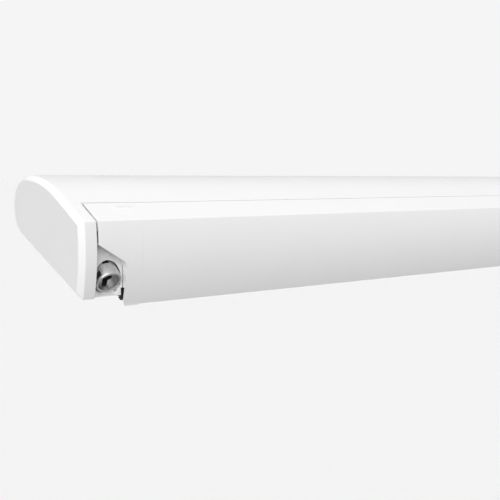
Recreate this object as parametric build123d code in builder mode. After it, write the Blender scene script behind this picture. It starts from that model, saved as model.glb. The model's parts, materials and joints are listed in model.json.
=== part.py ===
from build123d import *
import math
import os

os.makedirs("parts", exist_ok=True)

# Closed cassette awning for a caravan or camper roof. X runs along the case, the front faces -Y.
# The origin is the middle of the roof face of the middle bracket.
# Section places are given as a depth back from the front plane and a height over the top front edge.

# Whole awning
total_length = 2600
slope_angle = 16.7          # fall of the open canopy, degrees
cut_overrun = 2             # how far a cut runs past the material
seat_gap = 0.1              # small fitting gap between fixed pieces
running_gap = 0.3           # gap between faces that move past each other
pin_gap = 0.05              # radial clearance of a pin in a turning hole

# Case outline
nose_behind = 14            # middle of the round back, behind the roller's axis
nose_over = 4               # and over it
crown_depth = 56
crown_height = 30.5
brow_depth = -2             # top front edge
front_bulge_depth = -3.5
front_bulge_drop = 38
sill_depth = 4              # bottom front corner
sill_below_pocket = 19.5
case_wall = 2.4
lip_gap = 1                 # seam between the lead rail and the case
cap_lip_gap = 3             # and between the lead rail and the end caps' shells

# Both long profiles are cut lengthwise into touching strips, each one nearly convex
strip_depth_shares = (-0.92, 0.16)  # from the roller's axis, of its radius
strip_angles = (25, -12)    # round the nose, degrees
strip_height = 2.5          # over the top front edge, in the rail

# Roof brackets
foot_front_depth = 78
foot_behind = 27            # how far the foot reaches out behind the case
foot_drop = 66              # top front edge over the roof face
foot_thickness = 5
bracket_width = 90
bracket_from_end = 450
bracket_plate = 4
bracket_hole_radius = 4.25
bracket_hole_spacing = 56
bracket_hole_inset = 14
bracket_nose_angle = 55     # how far the saddle follows the nose, degrees
bracket_screw_radius = 2.2
bracket_screw_head_radius = 4.6
bracket_screw_head = 2.6
bracket_screw_stick = 1.2   # how far its point shows inside the case
bracket_screw_spacing = 60
bracket_screw_along = 15    # from the nose tangent, forward along the underside

# End caps
cap_plate = 4
cap_depth = 12
cap_bevel = 5.5             # all round the outer face
cap_overhang = 7            # of the caps beyond the total length
cap_length = 62
cap_wall = 3
cap_rib = 3
bearing_plate = 4

# Lead rail
rail_end_gap = 2            # beside the outer part of the end cap
rail_cap_end = 66.6
rail_wall = 2
flange_depth = 30.5
box_back_depth = 16
arm_pocket_gap = 8          # between the folded arms and the roof of the leg pocket
pocket_lip = 1.6
welt_depth = 26
welt_height = 7.5
welt_radius = 2.8
welt_channel_gap = 0.35
welt_channel_wall = 1.5
welt_slot = 2.4
cap_end_wall = 2.5
notch_reach = 17.9          # from the crank's axis to the notch's inner edge
notch_top_rise = 42.2       # over the crank's mouth, as is the corner
notch_corner_rise = 20.3
notch_foot_rise = 6         # over the rail's bottom
notch_foot_flare = 2.9
rail_notch_radius = 9
notch_wall = 2              # turned in along the notch's edge
notch_wall_drop = 72
rail_cap_sink = 1.2         # of the cap's foot, below the rail

# Roller and wound fabric
roll_arm_gap = 11.8         # along the slope, between the folded arms and the wound fabric
roll_rise = 13.4            # of the roller's axis, square to the arms
roll_clearance = 3.1        # inside the case's round back
roller_radius = 25
roller_wall = 1.5
roller_start = 68
fabric_start = 74
wound_thickness = 6.5
plug_flange = 2
plug_length = 40
shaft_radius = 8
bush_radius = 10.5
bush_flange_radius = 14
bush_flange = 1.5
canopy_thickness = 0.6
canopy_stretch_gap = 0.4

# Crank drive
crank_x = 29.2
crank_mouth_depth = 4.2
crank_over_sill = 15.8
eye_radius = 14.4
eye_length = 34
eye_wall = 2.4
eye_recess = 7
eye_bevel = 1
eye_neck = 8
eye_slot_start = 1
eye_slot_depth = 12
# Corners of the hook's slot, across and down from the crank's axis, as shares of the eye's radius
eye_slot_shares = (
    (-0.31, 0.06), (-0.19, -0.22), (0.42, -0.24), (0.43, 0.03), (0.17, 0.26), (0.285, 0.86), (-0.15, 0.86)
)
eye_window_depth = 5
eye_window_height = 8
eye_window_width_shares = (0.72, 0.53)  # of the eye's radius
eye_window_turns = (202, 262)
eye_window_start_shares = (0.065, 0.45)
worm_shaft_radius = 4
worm_radius = 6.2
worm_length = 26
worm_thread = 0.8
worm_thread_pitch = 4.2
worm_thread_share = 0.5     # of the pitch
wheel_tip_radius = 12.6
wheel_root_radius = 10.6
wheel_width = 12
wheel_teeth = 20
gear_wall = 2.4
gear_reach_out = 12.8       # of the gearbox, from the crank's axis towards the end cap
gear_reach_in = 14.2        # and towards the roller
worm_mesh_gap = 0.8
gear_worm_wall = 2.6

# Front panel round the crank eye
panel_depth = 7.2
panel_thickness = 3
panel_top_drop = 13
panel_end_gap = 0.4         # to the notch's inner edge
panel_floor = 2.5
panel_skin = 0.8            # of that floor, left under the crank's bore
bore_radius = 16
bore_wall = 1.2
bore_length = 46

# Folding arms; the arm plane slopes with the canopy
shoulder_x = 125
shoulder_drop = 22
elbow_from_middle = 160
arm_front_gap = 5           # between the rail's box and the folded arms
tube_width = 26
tube_height = 40
tube_wall = 2
elbow_offset = 15           # from each tube's centre line to the elbow pivot
tube_start = 20
tube_stop = 25
knuckle_radius = 13
elbow_radius = 14
arm_pin_radius = 5
tongue_height = 20
ear_gap = 0.3
ear_thickness = 5
bracket_web = 5
arm_bracket_width = 36
web_distance = 16
pin_head = 2
pin_head_radius = 7
spigot_length = 30
spigot_gap = 0.2
spring_radius = 9
spring_wire = 2.5
spring_length = 420
spring_start = 140
cable_radius = 1.5

# Support legs, folded up in the lead rail
leg_front_gap = 2.2
leg_roof_gap = 1
leg_back_gap = 0.2
leg_turn_gap = 0.5
leg_cover = 1.3             # of the rail, below the stowed leg's lever
leg_width = 19
leg_height = 20
leg_wall = 1.5
leg_inner_start = 40
leg_inner_gap = 0.4
leg_inner_show = 30         # of the inner tube, out of the stowed leg's outer one
leg_pin_radius = 3
leg_ear = 3
leg_block_length = 6.4
leg_hinge_lift = 2.5        # of the hinge's underside over the leg's
leg_ear_reach = 9.5         # past the hinge pin
leg_nose_reach = 2.3
leg_nose_width = 2.5
leg_nose_height = 13.5
leg_nose_sink = 1           # below the hinge block
leg_tip_reach = 1.4         # of a small stop on the nose
leg_tip_height = 2
leg_tip_rise = 2
foot_from_middle = 21.5
foot_length = 56
foot_stop_gap = 8           # between the inner tube's end and the foot's pivot
foot_plate = 5
foot_width = 17
foot_boss_radius = 6
foot_boss_width = 8
foot_cheek = 2.5
foot_trunnion_radius = 2.5
foot_peg_radius = 4
foot_peg_place = 40
lever_length = 46
lever_width = 13
lever_thickness = 3
lever_inset = 10
lever_pin_radius = 1.6
lever_tab = 1.5
lever_boss_radius = 2.6

# End plate screws and their bosses in the case
boss_radius = 5.2
boss_inset = 7.4            # from the case's outline to a boss's middle
boss_hole_radius = 2.1
screw_radius = 2
screw_length = 20
screw_head = 3
screw_head_radius = 3.8
nose_boss_angles = (50, -25)
floor_boss_ahead = 15       # of the roller's axis

left_end = -total_length / 2
case_top_z = foot_drop
sin_slope = math.sin(math.radians(slope_angle))
cos_slope = math.cos(math.radians(slope_angle))


def on_slope(depth, height, along, rise):
    """Section point reached from (depth, height) along the slope and square to it."""
    return (
        depth + along * cos_slope - rise * sin_slope,
        height + along * sin_slope + rise * cos_slope,
    )


# From the front backwards: the rail's box, the folded arms, the wound fabric, the case's round back
elbow_pair = 2 * elbow_offset
fabric_roll_radius = roller_radius + wound_thickness
wrist_depth = box_back_depth + arm_front_gap + (tube_width * cos_slope + tube_height * sin_slope) / 2
wrist_height = -shoulder_drop - elbow_pair * sin_slope
shoulder_depth = wrist_depth + elbow_pair * cos_slope
roll_along = tube_width / 2 + roll_arm_gap + fabric_roll_radius
roller_depth, roller_height = on_slope(shoulder_depth, -shoulder_drop, roll_along, roll_rise)
nose_depth = roller_depth + nose_behind
nose_height = roller_height + nose_over
nose_radius = fabric_roll_radius + roll_clearance + case_wall
floor_boss_depth = roller_depth - floor_boss_ahead
foot_end = nose_depth + nose_radius + foot_behind
case_front_y = -(foot_front_depth + foot_end) / 2

# From the folded arms downwards: the leg pocket, the stowed leg, the bottoms of the case and the rail
arm_drop = (tube_height * cos_slope + tube_width * sin_slope) / 2
pocket_roof_drop = -wrist_height + arm_drop + arm_pocket_gap
leg_drop = pocket_roof_drop + rail_wall + leg_roof_gap + leg_height / 2
rail_drop = leg_drop + leg_height / 2 + 2 * lever_boss_radius + leg_cover
leg_nose_bottom_drop = leg_drop + leg_height / 2 + leg_nose_sink
hinge_reach = leg_width / 2 + running_gap + leg_ear
leg_depth = sill_depth + rail_wall + leg_front_gap + hinge_reach
pocket_back_depth = leg_depth + hinge_reach + leg_back_gap + rail_wall
sill_drop = pocket_roof_drop + sill_below_pocket
crank_mouth_drop = sill_drop - crank_over_sill

# From the left end inwards: gearbox, notch and leg hinge; arms and legs reach towards the middle
gear_case_start = crank_x - gear_reach_out
gear_case_end = crank_x + gear_reach_in
rail_notch_right = crank_x + notch_reach
panel_end = rail_notch_right - panel_end_gap
leg_block_start = rail_notch_right + 2 * seat_gap
leg_block_end = leg_block_start + leg_block_length
leg_nose_start = leg_block_start - leg_nose_reach
leg_nose_top = leg_nose_height - leg_nose_bottom_drop
leg_pivot_x = leg_block_end + leg_height / 2 + leg_turn_gap
leg_ear_end = leg_pivot_x + leg_ear_reach
foot_pivot = total_length / 2 - foot_from_middle - foot_length - leg_pivot_x
leg_inner_stop = foot_pivot - foot_stop_gap
leg_length = leg_inner_stop - leg_inner_show
lever_pivot = leg_length - lever_inset
link_length = total_length / 2 - elbow_from_middle - shoulder_x
bracket_spacing = total_length / 2 - bracket_from_end

# The crank's axis runs past the roller's at the distance that the worm and its wheel need
crank_run = math.hypot(roller_depth - crank_mouth_depth, roller_height + crank_mouth_drop)
crank_past = wheel_tip_radius + worm_radius + worm_mesh_gap
crank_tilt = math.degrees(
    math.atan2(roller_height + crank_mouth_drop, roller_depth - crank_mouth_depth)
    + math.asin(crank_past / crank_run)
)
run_depth = nose_depth - sill_depth
run_height = nose_height + sill_drop
underside_angle = math.degrees(
    math.atan2(run_height, run_depth) - math.asin(nose_radius / math.hypot(run_depth, run_height))
)
sin_under = math.sin(math.radians(underside_angle))
cos_under = math.cos(math.radians(underside_angle))
tan_under = sin_under / cos_under
tangent_depth = nose_depth + nose_radius * sin_under
tangent_height = nose_height - nose_radius * cos_under


def section(x):
    """Plane across the case at x from its left end; its own x is depth and its own y is height."""
    origin = (left_end + x, case_front_y, case_top_z)
    return Plane(origin=origin, x_dir=(0, 1, 0), z_dir=(1, 0, 0))


def arm_plane(height=0):
    """Plane of the arms, through the left shoulder; its own y points inward along the slope."""
    origin = (left_end + shoulder_x, case_front_y + shoulder_depth, case_top_z - shoulder_drop)
    return Plane(origin=origin, x_dir=(1, 0, 0), z_dir=(0, -sin_slope, cos_slope)).offset(height)


def crank_plane(distance):
    """Plane square to the crank's axis, at a distance up the axis from the eye's mouth."""
    tilt = math.radians(crank_tilt)
    direction = (0, math.cos(tilt), math.sin(tilt))
    origin = Vector(left_end + crank_x, case_front_y + crank_mouth_depth, case_top_z - crank_mouth_drop)
    return Plane(origin=origin + Vector(direction) * distance, x_dir=(1, 0, 0), z_dir=direction)


def underside(depth):
    """Height of the case's underside at a depth."""
    return -sill_drop + (depth - sill_depth) * tan_under


def nose_point(radius, turn):
    """Section point on a circle about the middle of the case's rounded back."""
    return (nose_depth + radius * math.cos(turn), nose_height + radius * math.sin(turn))


reach_depth = roller_depth - welt_depth
reach_height = roller_height - welt_height
reach = math.hypot(reach_depth, reach_height)
clear_radius = fabric_roll_radius + canopy_stretch_gap
rise_angle = math.atan2(reach_height, reach_depth) + math.asin(clear_radius / reach)
free_run = math.sqrt(reach**2 - clear_radius**2)
bosses = [nose_point(nose_radius - boss_inset, math.radians(angle)) for angle in nose_boss_angles]
bosses.append((floor_boss_depth, underside(floor_boss_depth) + boss_inset / cos_under))


def case_face(x, inset=0):
    """Closed outline of the case, drawn in by an inset."""
    with BuildSketch(section(x)) as outline:
        with BuildLine():
            back = TangentArc(
                (nose_depth, nose_height + nose_radius), (crown_depth, crown_height), tangent=(-1, 0)
            )
            brow = TangentArc(back @ 1, (brow_depth, 0), tangent=back % 1)
            ThreePointArc(brow @ 1, (front_bulge_depth, -front_bulge_drop), (sill_depth, -sill_drop))
            Line((sill_depth, -sill_drop), (tangent_depth, tangent_height))
            ThreePointArc(
                (tangent_depth, tangent_height),
                (nose_depth + nose_radius, nose_height),
                (nose_depth, nose_height + nose_radius),
            )
        make_face()
        if inset:
            offset(amount=-inset, kind=Kind.INTERSECTION)
    return outline.sketch


def rail_outline(x, inset=0):
    """Everything of the lead rail's section in front of its front and top skins, as one closed face."""
    with BuildSketch(section(x)) as outline:
        with BuildLine():
            back = TangentArc(
                (nose_depth, nose_height + nose_radius), (crown_depth, crown_height), tangent=(-1, 0)
            )
            TangentArc(back @ 1, (brow_depth, 0), tangent=back % 1)
            skin = ThreePointArc(
                (brow_depth, 0), (front_bulge_depth, -front_bulge_drop), (sill_depth, -sill_drop)
            )
            foot = TangentArc(skin @ 1, (rail_foot_depth, -rail_drop), tangent=skin % 1)
            Polyline(
                foot @ 1,
                (nose_depth, -rail_drop),
                (nose_depth, nose_height + nose_radius),
            )
        make_face()
        if inset:
            offset(amount=-inset, kind=Kind.INTERSECTION)
    return outline.sketch


def skin_depth(drop):
    """Depth of the front arc, carried on down past the case, at a drop below the top front edge."""
    ax, ay = brow_depth, 0
    bx, by = front_bulge_depth, -front_bulge_drop
    cx, cy = sill_depth, -sill_drop
    d = 2 * (ax * (by - cy) + bx * (cy - ay) + cx * (ay - by))
    a2, b2, c2 = ax * ax + ay * ay, bx * bx + by * by, cx * cx + cy * cy
    centre_x = (a2 * (by - cy) + b2 * (cy - ay) + c2 * (ay - by)) / d
    centre_y = (a2 * (cx - bx) + b2 * (ax - cx) + c2 * (bx - ax)) / d
    radius = math.hypot(ax - centre_x, ay - centre_y)
    return centre_x - math.sqrt(radius**2 - (drop + centre_y) ** 2)


rail_foot_depth = skin_depth(rail_drop)


def box_face(x, depth_from, depth_to, height_from, height_to):
    """Upright rectangle on the section plane at x."""
    with BuildSketch(section(x)) as face:
        with Locations(((depth_from + depth_to) / 2, (height_from + height_to) / 2)):
            Rectangle(abs(depth_to - depth_from), abs(height_to - height_from))
    return face.sketch


def round_face(x, depth, height, radius):
    """Circle on the section plane at x."""
    with BuildSketch(section(x)) as face:
        with Locations((depth, height)):
            Circle(radius)
    return face.sketch


def level_cut(depth, height, turn=0):
    """Plane along the case through a section point, turned up from the level by an angle."""
    turn = math.radians(turn)
    origin = (0, case_front_y + depth, case_top_z + height)
    return Plane(origin=origin, x_dir=(1, 0, 0), z_dir=(0, -math.sin(turn), math.cos(turn)))


def strips(part, cuts):
    """Profile cut lengthwise into touching strips."""
    with BuildPart() as cut_up:
        add(part)
        for cut in cuts:
            split(bisect_by=cut, keep=Keep.BOTH)
    return cut_up.part


def below_case(run, rise=0):
    """Everything below the case's underside over its first stretch, raised by a clearance."""
    far = total_length
    with BuildPart() as solid:
        with BuildSketch(section(0)):
            with BuildLine():
                Polyline(
                    (-far, underside(-far) + rise),
                    (far, underside(far) + rise),
                    (far, -2 * far),
                    (-far, -2 * far),
                    close=True,
                )
            make_face()
        extrude(amount=run)
    return solid.part


def save(part, name):
    """Labels a finished piece and writes it."""
    part.label = name
    export_step(part, f"parts/{name}.step")


def save_pair(part, name):
    """Writes a left piece and its mirrored right twin."""
    save(part, f"left_{name}")
    save(mirror(part, about=Plane.YZ), f"right_{name}")


def rail_skins(x_from, x_to):
    """Front and top skins of the lead rail, with a small lip at the bottom."""
    run = x_to - x_from
    with BuildPart() as skins:
        extrude(rail_outline(x_from), amount=run)
        extrude(rail_outline(x_from, rail_wall), amount=run, mode=Mode.SUBTRACT)
        reach = nose_radius + nose_depth
        behind = box_face(x_from, flange_depth, reach, -rail_drop - cut_overrun, reach)
        extrude(behind, amount=run, mode=Mode.SUBTRACT)
        floor = box_face(
            x_from, rail_foot_depth + pocket_lip, flange_depth, -rail_drop, -rail_drop + rail_wall
        )
        extrude(floor, amount=run, mode=Mode.SUBTRACT)
    return skins.part


def rail_section(x_from, x_to):
    """Length of the lead rail: skins, stiffening box, welt channel and the pocket for a leg."""
    run = x_to - x_from
    with BuildPart() as rail:
        add(rail_skins(x_from, x_to))
        box_roof = welt_height - welt_radius
        box_wall = box_face(
            x_from, box_back_depth - rail_wall, box_back_depth, -pocket_roof_drop, box_roof
        )
        extrude(box_wall, amount=run)
        roof = box_face(
            x_from,
            skin_depth(pocket_roof_drop + rail_wall) + rail_wall / 2,
            pocket_back_depth,
            -pocket_roof_drop - rail_wall,
            -pocket_roof_drop,
        )
        extrude(roof, amount=run)
        pocket_back = box_face(
            x_from, pocket_back_depth - rail_wall, pocket_back_depth, -rail_drop, -pocket_roof_drop
        )
        extrude(pocket_back, amount=run)
        back_lip = box_face(
            x_from,
            pocket_back_depth - rail_wall - pocket_lip,
            pocket_back_depth,
            -rail_drop,
            -rail_drop + rail_wall,
        )
        extrude(back_lip, amount=run)
        outer = welt_radius + welt_channel_gap + welt_channel_wall
        extrude(round_face(x_from, welt_depth, welt_height, outer), amount=run)
        stem = box_face(
            x_from, welt_depth - outer, welt_depth - outer + welt_channel_wall, welt_height, 2 * welt_height
        )
        extrude(stem, amount=run)
        arm = box_face(
            x_from, box_back_depth - rail_wall, welt_depth - outer, box_roof, box_roof + rail_wall
        )
        extrude(arm, amount=run)
        bore = round_face(x_from, welt_depth, welt_height, welt_radius + welt_channel_gap)
        extrude(bore, amount=run, mode=Mode.SUBTRACT)
        with BuildSketch(section(x_from)):
            with Locations((welt_depth, welt_height)):
                slot_length = outer + cut_overrun
                rise = math.degrees(rise_angle)
                Rectangle(slot_length, welt_slot, rotation=rise, align=(Align.MIN, Align.CENTER))
        extrude(amount=run, mode=Mode.SUBTRACT)
    return rail.part


# Case profile with its screw bosses, open at the front for the lead rail
case_run = total_length - 2 * cap_length
mouth_floor_depth = pocket_back_depth + lip_gap


def mouth_cut(x, run, gap=lip_gap):
    """Solid that opens the front of the case for the lead rail and the canopy, with a gap over the rail."""
    with BuildPart() as cut:
        with BuildSketch(section(x)):
            with BuildLine():
                Polyline(
                    (front_bulge_depth - nose_radius, -rail_drop - nose_radius),
                    (mouth_floor_depth, -rail_drop - nose_radius),
                    (mouth_floor_depth, -shoulder_drop),
                    (flange_depth + gap, -shoulder_drop),
                    (flange_depth + gap, nose_height + nose_radius),
                    (front_bulge_depth - nose_radius, nose_height + nose_radius),
                    close=True,
                )
            make_face()
        extrude(amount=run)
    return cut.part


def saddle_screws(radius, start, length):
    """Round bars square to the underside at the saddles' screws, from start below it upward."""
    with BuildPart() as bars:
        for middle in (-bracket_spacing, 0, bracket_spacing):
            for side in (-bracket_screw_spacing / 2, bracket_screw_spacing / 2):
                seat = Plane(
                    origin=(
                        middle + side,
                        case_front_y + tangent_depth - bracket_screw_along * cos_under,
                        case_top_z + tangent_height - bracket_screw_along * sin_under,
                    ),
                    x_dir=(1, 0, 0),
                    z_dir=(0, -sin_under, cos_under),
                )
                with BuildSketch(seat.offset(-start)):
                    Circle(radius)
                extrude(amount=length)
    return bars.part


saddle_drop = seat_gap + bracket_plate
saddle_bore = saddle_screws(
    bracket_screw_radius + seat_gap, 2 * saddle_drop, 2 * (saddle_drop + case_wall)
)

with BuildPart() as housing_profile:
    extrude(case_face(cap_length), amount=case_run)
    extrude(case_face(cap_length, case_wall), amount=case_run, mode=Mode.SUBTRACT)
    for depth, height in bosses:
        extrude(round_face(cap_length, depth, height, boss_radius), amount=case_run)
        boss_hole = round_face(cap_length, depth, height, boss_hole_radius)
        extrude(boss_hole, amount=case_run, mode=Mode.SUBTRACT)
    add(mouth_cut(cap_length, case_run), mode=Mode.SUBTRACT)
    add(saddle_bore, mode=Mode.SUBTRACT)
cuts = [level_cut(roller_depth + share * roller_radius, 0, 90) for share in strip_depth_shares]
cuts += [level_cut(nose_depth, nose_height, angle) for angle in strip_angles]
save(strips(housing_profile.part, cuts), "housing_profile")

# End caps: a bevelled outer plate with a hollow back, and a shell running inboard over the case's end
hollow_start = cap_plate - cap_overhang
with BuildPart() as end_cap:
    extrude(case_face(-cap_overhang), amount=cap_overhang + cap_depth)
    chamfer(end_cap.faces().sort_by(Axis.X)[0].edges(), cap_bevel)
    extrude(case_face(hollow_start, cap_rib), amount=cap_depth - hollow_start, mode=Mode.SUBTRACT)
with BuildPart() as cap_shell:
    extrude(case_face(cap_depth), amount=cap_length - cap_depth)
    extrude(case_face(cap_depth, cap_wall), amount=cap_length - cap_depth, mode=Mode.SUBTRACT)
    add(mouth_cut(cap_depth, cap_length - cap_depth, cap_lip_gap), mode=Mode.SUBTRACT)
with BuildPart() as left_end_cap:
    add(end_cap.part)
    add(cap_shell.part)
save_pair(left_end_cap.part, "end_cap")

# Bearing plates inside the caps' shells, carrying the roller's bushes; the left one holds the gearbox
plate_x = cap_length - bearing_plate
with BuildPart() as bearing_plate_part:
    extrude(case_face(plate_x, cap_wall + seat_gap), amount=bearing_plate)
    add(mouth_cut(plate_x, bearing_plate, cap_lip_gap), mode=Mode.SUBTRACT)
    bush_hole = round_face(plate_x, roller_depth, roller_height, bush_radius)
    extrude(bush_hole, amount=bearing_plate, mode=Mode.SUBTRACT)
    for depth, height in bosses:
        hole = round_face(plate_x, depth, height, screw_radius + seat_gap)
        extrude(hole, amount=bearing_plate, mode=Mode.SUBTRACT)
save(bearing_plate_part.part, "gear_mount_plate")
save(mirror(bearing_plate_part.part, about=Plane.YZ), "right_bearing_plate")

with BuildPart() as left_bush:
    sleeve = round_face(plate_x, roller_depth, roller_height, bush_radius - seat_gap / 2)
    extrude(sleeve, amount=bearing_plate)
    extrude(round_face(cap_length, roller_depth, roller_height, bush_flange_radius), amount=bush_flange)
    bush_bore = round_face(plate_x - cut_overrun, roller_depth, roller_height, shaft_radius + pin_gap)
    extrude(bush_bore, amount=bearing_plate + bush_flange + 2 * cut_overrun, mode=Mode.SUBTRACT)
save(Compound(children=[left_bush.part, mirror(left_bush.part, about=Plane.YZ)]), "roller_bushes")

with BuildPart() as screws:
    for depth, height in bosses:
        head = round_face(plate_x - screw_head, depth, height, screw_head_radius)
        extrude(head, amount=screw_head)
        extrude(round_face(plate_x, depth, height, screw_radius), amount=screw_length)
save(Compound(children=[screws.part, mirror(screws.part, about=Plane.YZ)]), "end_plate_screws")

# Gearbox case: a drum round the worm wheel and a barrel round the worm
worm_middle = (roller_depth - crank_mouth_depth) * math.cos(math.radians(crank_tilt)) + (
    roller_height + crank_mouth_drop
) * math.sin(math.radians(crank_tilt))
worm_start = worm_middle - worm_length / 2
barrel_start = worm_start - running_gap - gear_worm_wall
barrel_run = worm_length + 2 * (running_gap + gear_worm_wall)
drum_radius = wheel_tip_radius + running_gap + gear_wall
barrel_radius = worm_radius + running_gap + gear_worm_wall
with BuildPart() as gearbox_case:
    drum = round_face(gear_case_start, roller_depth, roller_height, drum_radius)
    extrude(drum, amount=gear_case_end - gear_case_start)
    with BuildSketch(crank_plane(barrel_start)):
        Circle(barrel_radius)
    extrude(amount=barrel_run)
    neck = round_face(gear_case_end, roller_depth, roller_height, bush_radius)
    extrude(neck, amount=plate_x - gear_case_end)
    wheel_room = round_face(
        gear_case_start + gear_wall, roller_depth, roller_height, wheel_tip_radius + running_gap
    )
    extrude(wheel_room, amount=gear_case_end - gear_case_start - 2 * gear_wall, mode=Mode.SUBTRACT)
    with BuildSketch(crank_plane(worm_start - running_gap)):
        Circle(worm_radius + running_gap)
    extrude(amount=worm_length + 2 * running_gap, mode=Mode.SUBTRACT)
    with BuildSketch(crank_plane(barrel_start - cut_overrun)):
        Circle(worm_shaft_radius + pin_gap)
    extrude(amount=barrel_run, mode=Mode.SUBTRACT)
    shaft_bore = round_face(
        gear_case_start + gear_wall, roller_depth, roller_height, shaft_radius + pin_gap
    )
    extrude(shaft_bore, amount=plate_x - gear_case_start, mode=Mode.SUBTRACT)
save(gearbox_case.part, "gearbox_case")

# Worm wheel on the roller's shaft; its teeth run just clear of the worm
wheel_start = crank_x - wheel_width / 2
with BuildPart() as worm_wheel:
    with BuildSketch(section(wheel_start)):
        with Locations((roller_depth, roller_height)):
            Circle(wheel_root_radius)
            tooth = wheel_tip_radius - wheel_root_radius + worm_thread
            with PolarLocations((wheel_root_radius + wheel_tip_radius - worm_thread) / 2, wheel_teeth):
                Rectangle(tooth, worm_thread_share * worm_thread_pitch)
            Circle(shaft_radius, mode=Mode.SUBTRACT)
    extrude(amount=wheel_width)
save(worm_wheel.part, "worm_wheel")

with BuildPart() as worm_shaft:
    shaft_start = eye_length
    with BuildSketch(crank_plane(shaft_start)):
        Circle(worm_shaft_radius)
    extrude(amount=worm_start + worm_length - shaft_start)
    with BuildSketch(crank_plane(worm_start)):
        Circle(worm_radius - worm_thread)
    extrude(amount=worm_length)
    ridge = worm_thread_share * worm_thread_pitch
    for index in range(int(worm_length / worm_thread_pitch)):
        with BuildSketch(crank_plane(worm_start + index * worm_thread_pitch + ridge / 2)):
            Circle(worm_radius)
        extrude(amount=ridge)
save(worm_shaft.part, "worm_shaft")

with BuildPart() as crank_eye:
    with BuildSketch(crank_plane(0)):
        Circle(eye_radius)
    extrude(amount=eye_length - eye_neck)
    with BuildSketch(crank_plane(eye_length - eye_neck)):
        Circle(eye_radius)
    extrude(amount=eye_neck, taper=math.degrees(math.atan2(eye_radius - eye_neck, eye_neck)))
    fillet(crank_eye.faces().sort_by(Axis.Y)[0].edges(), eye_bevel)
    with BuildSketch(crank_plane(-cut_overrun)):
        Circle(eye_radius - eye_wall)
    extrude(amount=eye_recess + cut_overrun, mode=Mode.SUBTRACT)
    with BuildSketch(crank_plane(eye_slot_start)):
        with BuildLine():
            corners = [(across * eye_radius, down * eye_radius) for across, down in eye_slot_shares]
            Polyline(*corners, close=True)
        make_face()
    extrude(amount=eye_recess + eye_slot_depth, mode=Mode.SUBTRACT)
    windows = zip(eye_window_turns, eye_window_width_shares, eye_window_start_shares)
    for turn, width_share, start_share in windows:
        with BuildSketch(crank_plane(start_share * eye_length)):
            with PolarLocations(eye_radius, 1, start_angle=turn):
                Rectangle(2 * eye_window_depth, width_share * eye_radius)
        extrude(amount=eye_window_height, mode=Mode.SUBTRACT)
save(crank_eye.part, "crank_eye")

# Front panel of the left cap: plate, floor and the slanted barrel that guides the crank's hook
with BuildPart() as crank_bore:
    with BuildSketch(crank_plane(-bore_length)):
        Circle(bore_radius)
    extrude(amount=2 * bore_length + cut_overrun)
    add(below_case(cap_length, panel_skin), mode=Mode.SUBTRACT)

with BuildPart() as crank_panel:
    plate = box_face(
        cap_depth, panel_depth, panel_depth + panel_thickness, -sill_drop + panel_floor, -panel_top_drop
    )
    extrude(plate, amount=panel_end - cap_depth)
    floor_end = mouth_floor_depth - running_gap
    with BuildSketch(section(cap_depth)):
        with BuildLine():
            Polyline(
                (panel_depth, -sill_drop),
                (floor_end, underside(floor_end)),
                (floor_end, underside(floor_end) + panel_floor),
                (panel_depth, -sill_drop + panel_floor),
                close=True,
            )
        make_face()
    extrude(amount=panel_end - cap_depth)
    with BuildSketch(crank_plane(0)):
        Circle(bore_radius + bore_wall)
    extrude(amount=bore_length)
    front = box_face(0, -total_length, panel_depth, -total_length, total_length)
    extrude(front, amount=cap_length, mode=Mode.SUBTRACT)
    add(below_case(cap_length), mode=Mode.SUBTRACT)
    add(crank_bore.part, mode=Mode.SUBTRACT)
    nose_room = leg_nose_start - running_gap
    room = box_face(
        nose_room, panel_depth, panel_depth + 2 * panel_thickness, -sill_drop, leg_nose_top + running_gap
    )
    extrude(room, amount=cap_length - nose_room, mode=Mode.SUBTRACT)
save(crank_panel.part, "crank_panel")

# Roller with its plugs and the wound fabric
with BuildPart() as roller_tube:
    roller_run = total_length - 2 * roller_start
    extrude(round_face(roller_start, roller_depth, roller_height, roller_radius), amount=roller_run)
    tube_bore = round_face(roller_start, roller_depth, roller_height, roller_radius - roller_wall)
    extrude(tube_bore, amount=roller_run, mode=Mode.SUBTRACT)
save(roller_tube.part, "roller_tube")


def roller_plug(shaft_end):
    """Plug in the roller's left end, with a shaft that reaches out to shaft_end."""
    with BuildPart() as plug:
        rim = round_face(roller_start - plug_flange, roller_depth, roller_height, roller_radius)
        extrude(rim, amount=plug_flange)
        plug_radius = roller_radius - roller_wall - seat_gap
        body = round_face(roller_start, roller_depth, roller_height, plug_radius)
        extrude(body, amount=plug_length)
        shaft = round_face(shaft_end, roller_depth, roller_height, shaft_radius)
        extrude(shaft, amount=roller_start - shaft_end)
    return plug.part


save(roller_plug(gear_case_start + gear_wall + running_gap), "left_roller_plug")
save(mirror(roller_plug(plate_x - bush_flange), about=Plane.YZ), "right_roller_plug")

with BuildPart() as fabric_roll:
    fabric_run = total_length - 2 * fabric_start
    extrude(round_face(fabric_start, roller_depth, roller_height, fabric_roll_radius), amount=fabric_run)
    core = round_face(fabric_start, roller_depth, roller_height, roller_radius + pin_gap)
    extrude(core, amount=fabric_run, mode=Mode.SUBTRACT)
save(fabric_roll.part, "fabric_roll")

# Free stretch of the canopy, from the top of the roll to the rail's channel
stretch_start = welt_radius + canopy_stretch_gap
with BuildPart() as canopy_sheet:
    with BuildSketch(section(fabric_start)):
        with BuildLine():
            along = (math.cos(rise_angle), math.sin(rise_angle))
            across = (-math.sin(rise_angle) * canopy_thickness, math.cos(rise_angle) * canopy_thickness)
            start = Vector(welt_depth, welt_height)
            near = start + Vector(along) * stretch_start
            far = start + Vector(along) * free_run
            Polyline(near, far, far + Vector(across), near + Vector(across), close=True)
        make_face()
    extrude(amount=fabric_run)
save(canopy_sheet.part, "canopy_sheet")

with BuildPart() as welt_cord:
    extrude(round_face(fabric_start, welt_depth, welt_height, welt_radius), amount=fabric_run)
save(welt_cord.part, "welt_cord")

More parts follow.
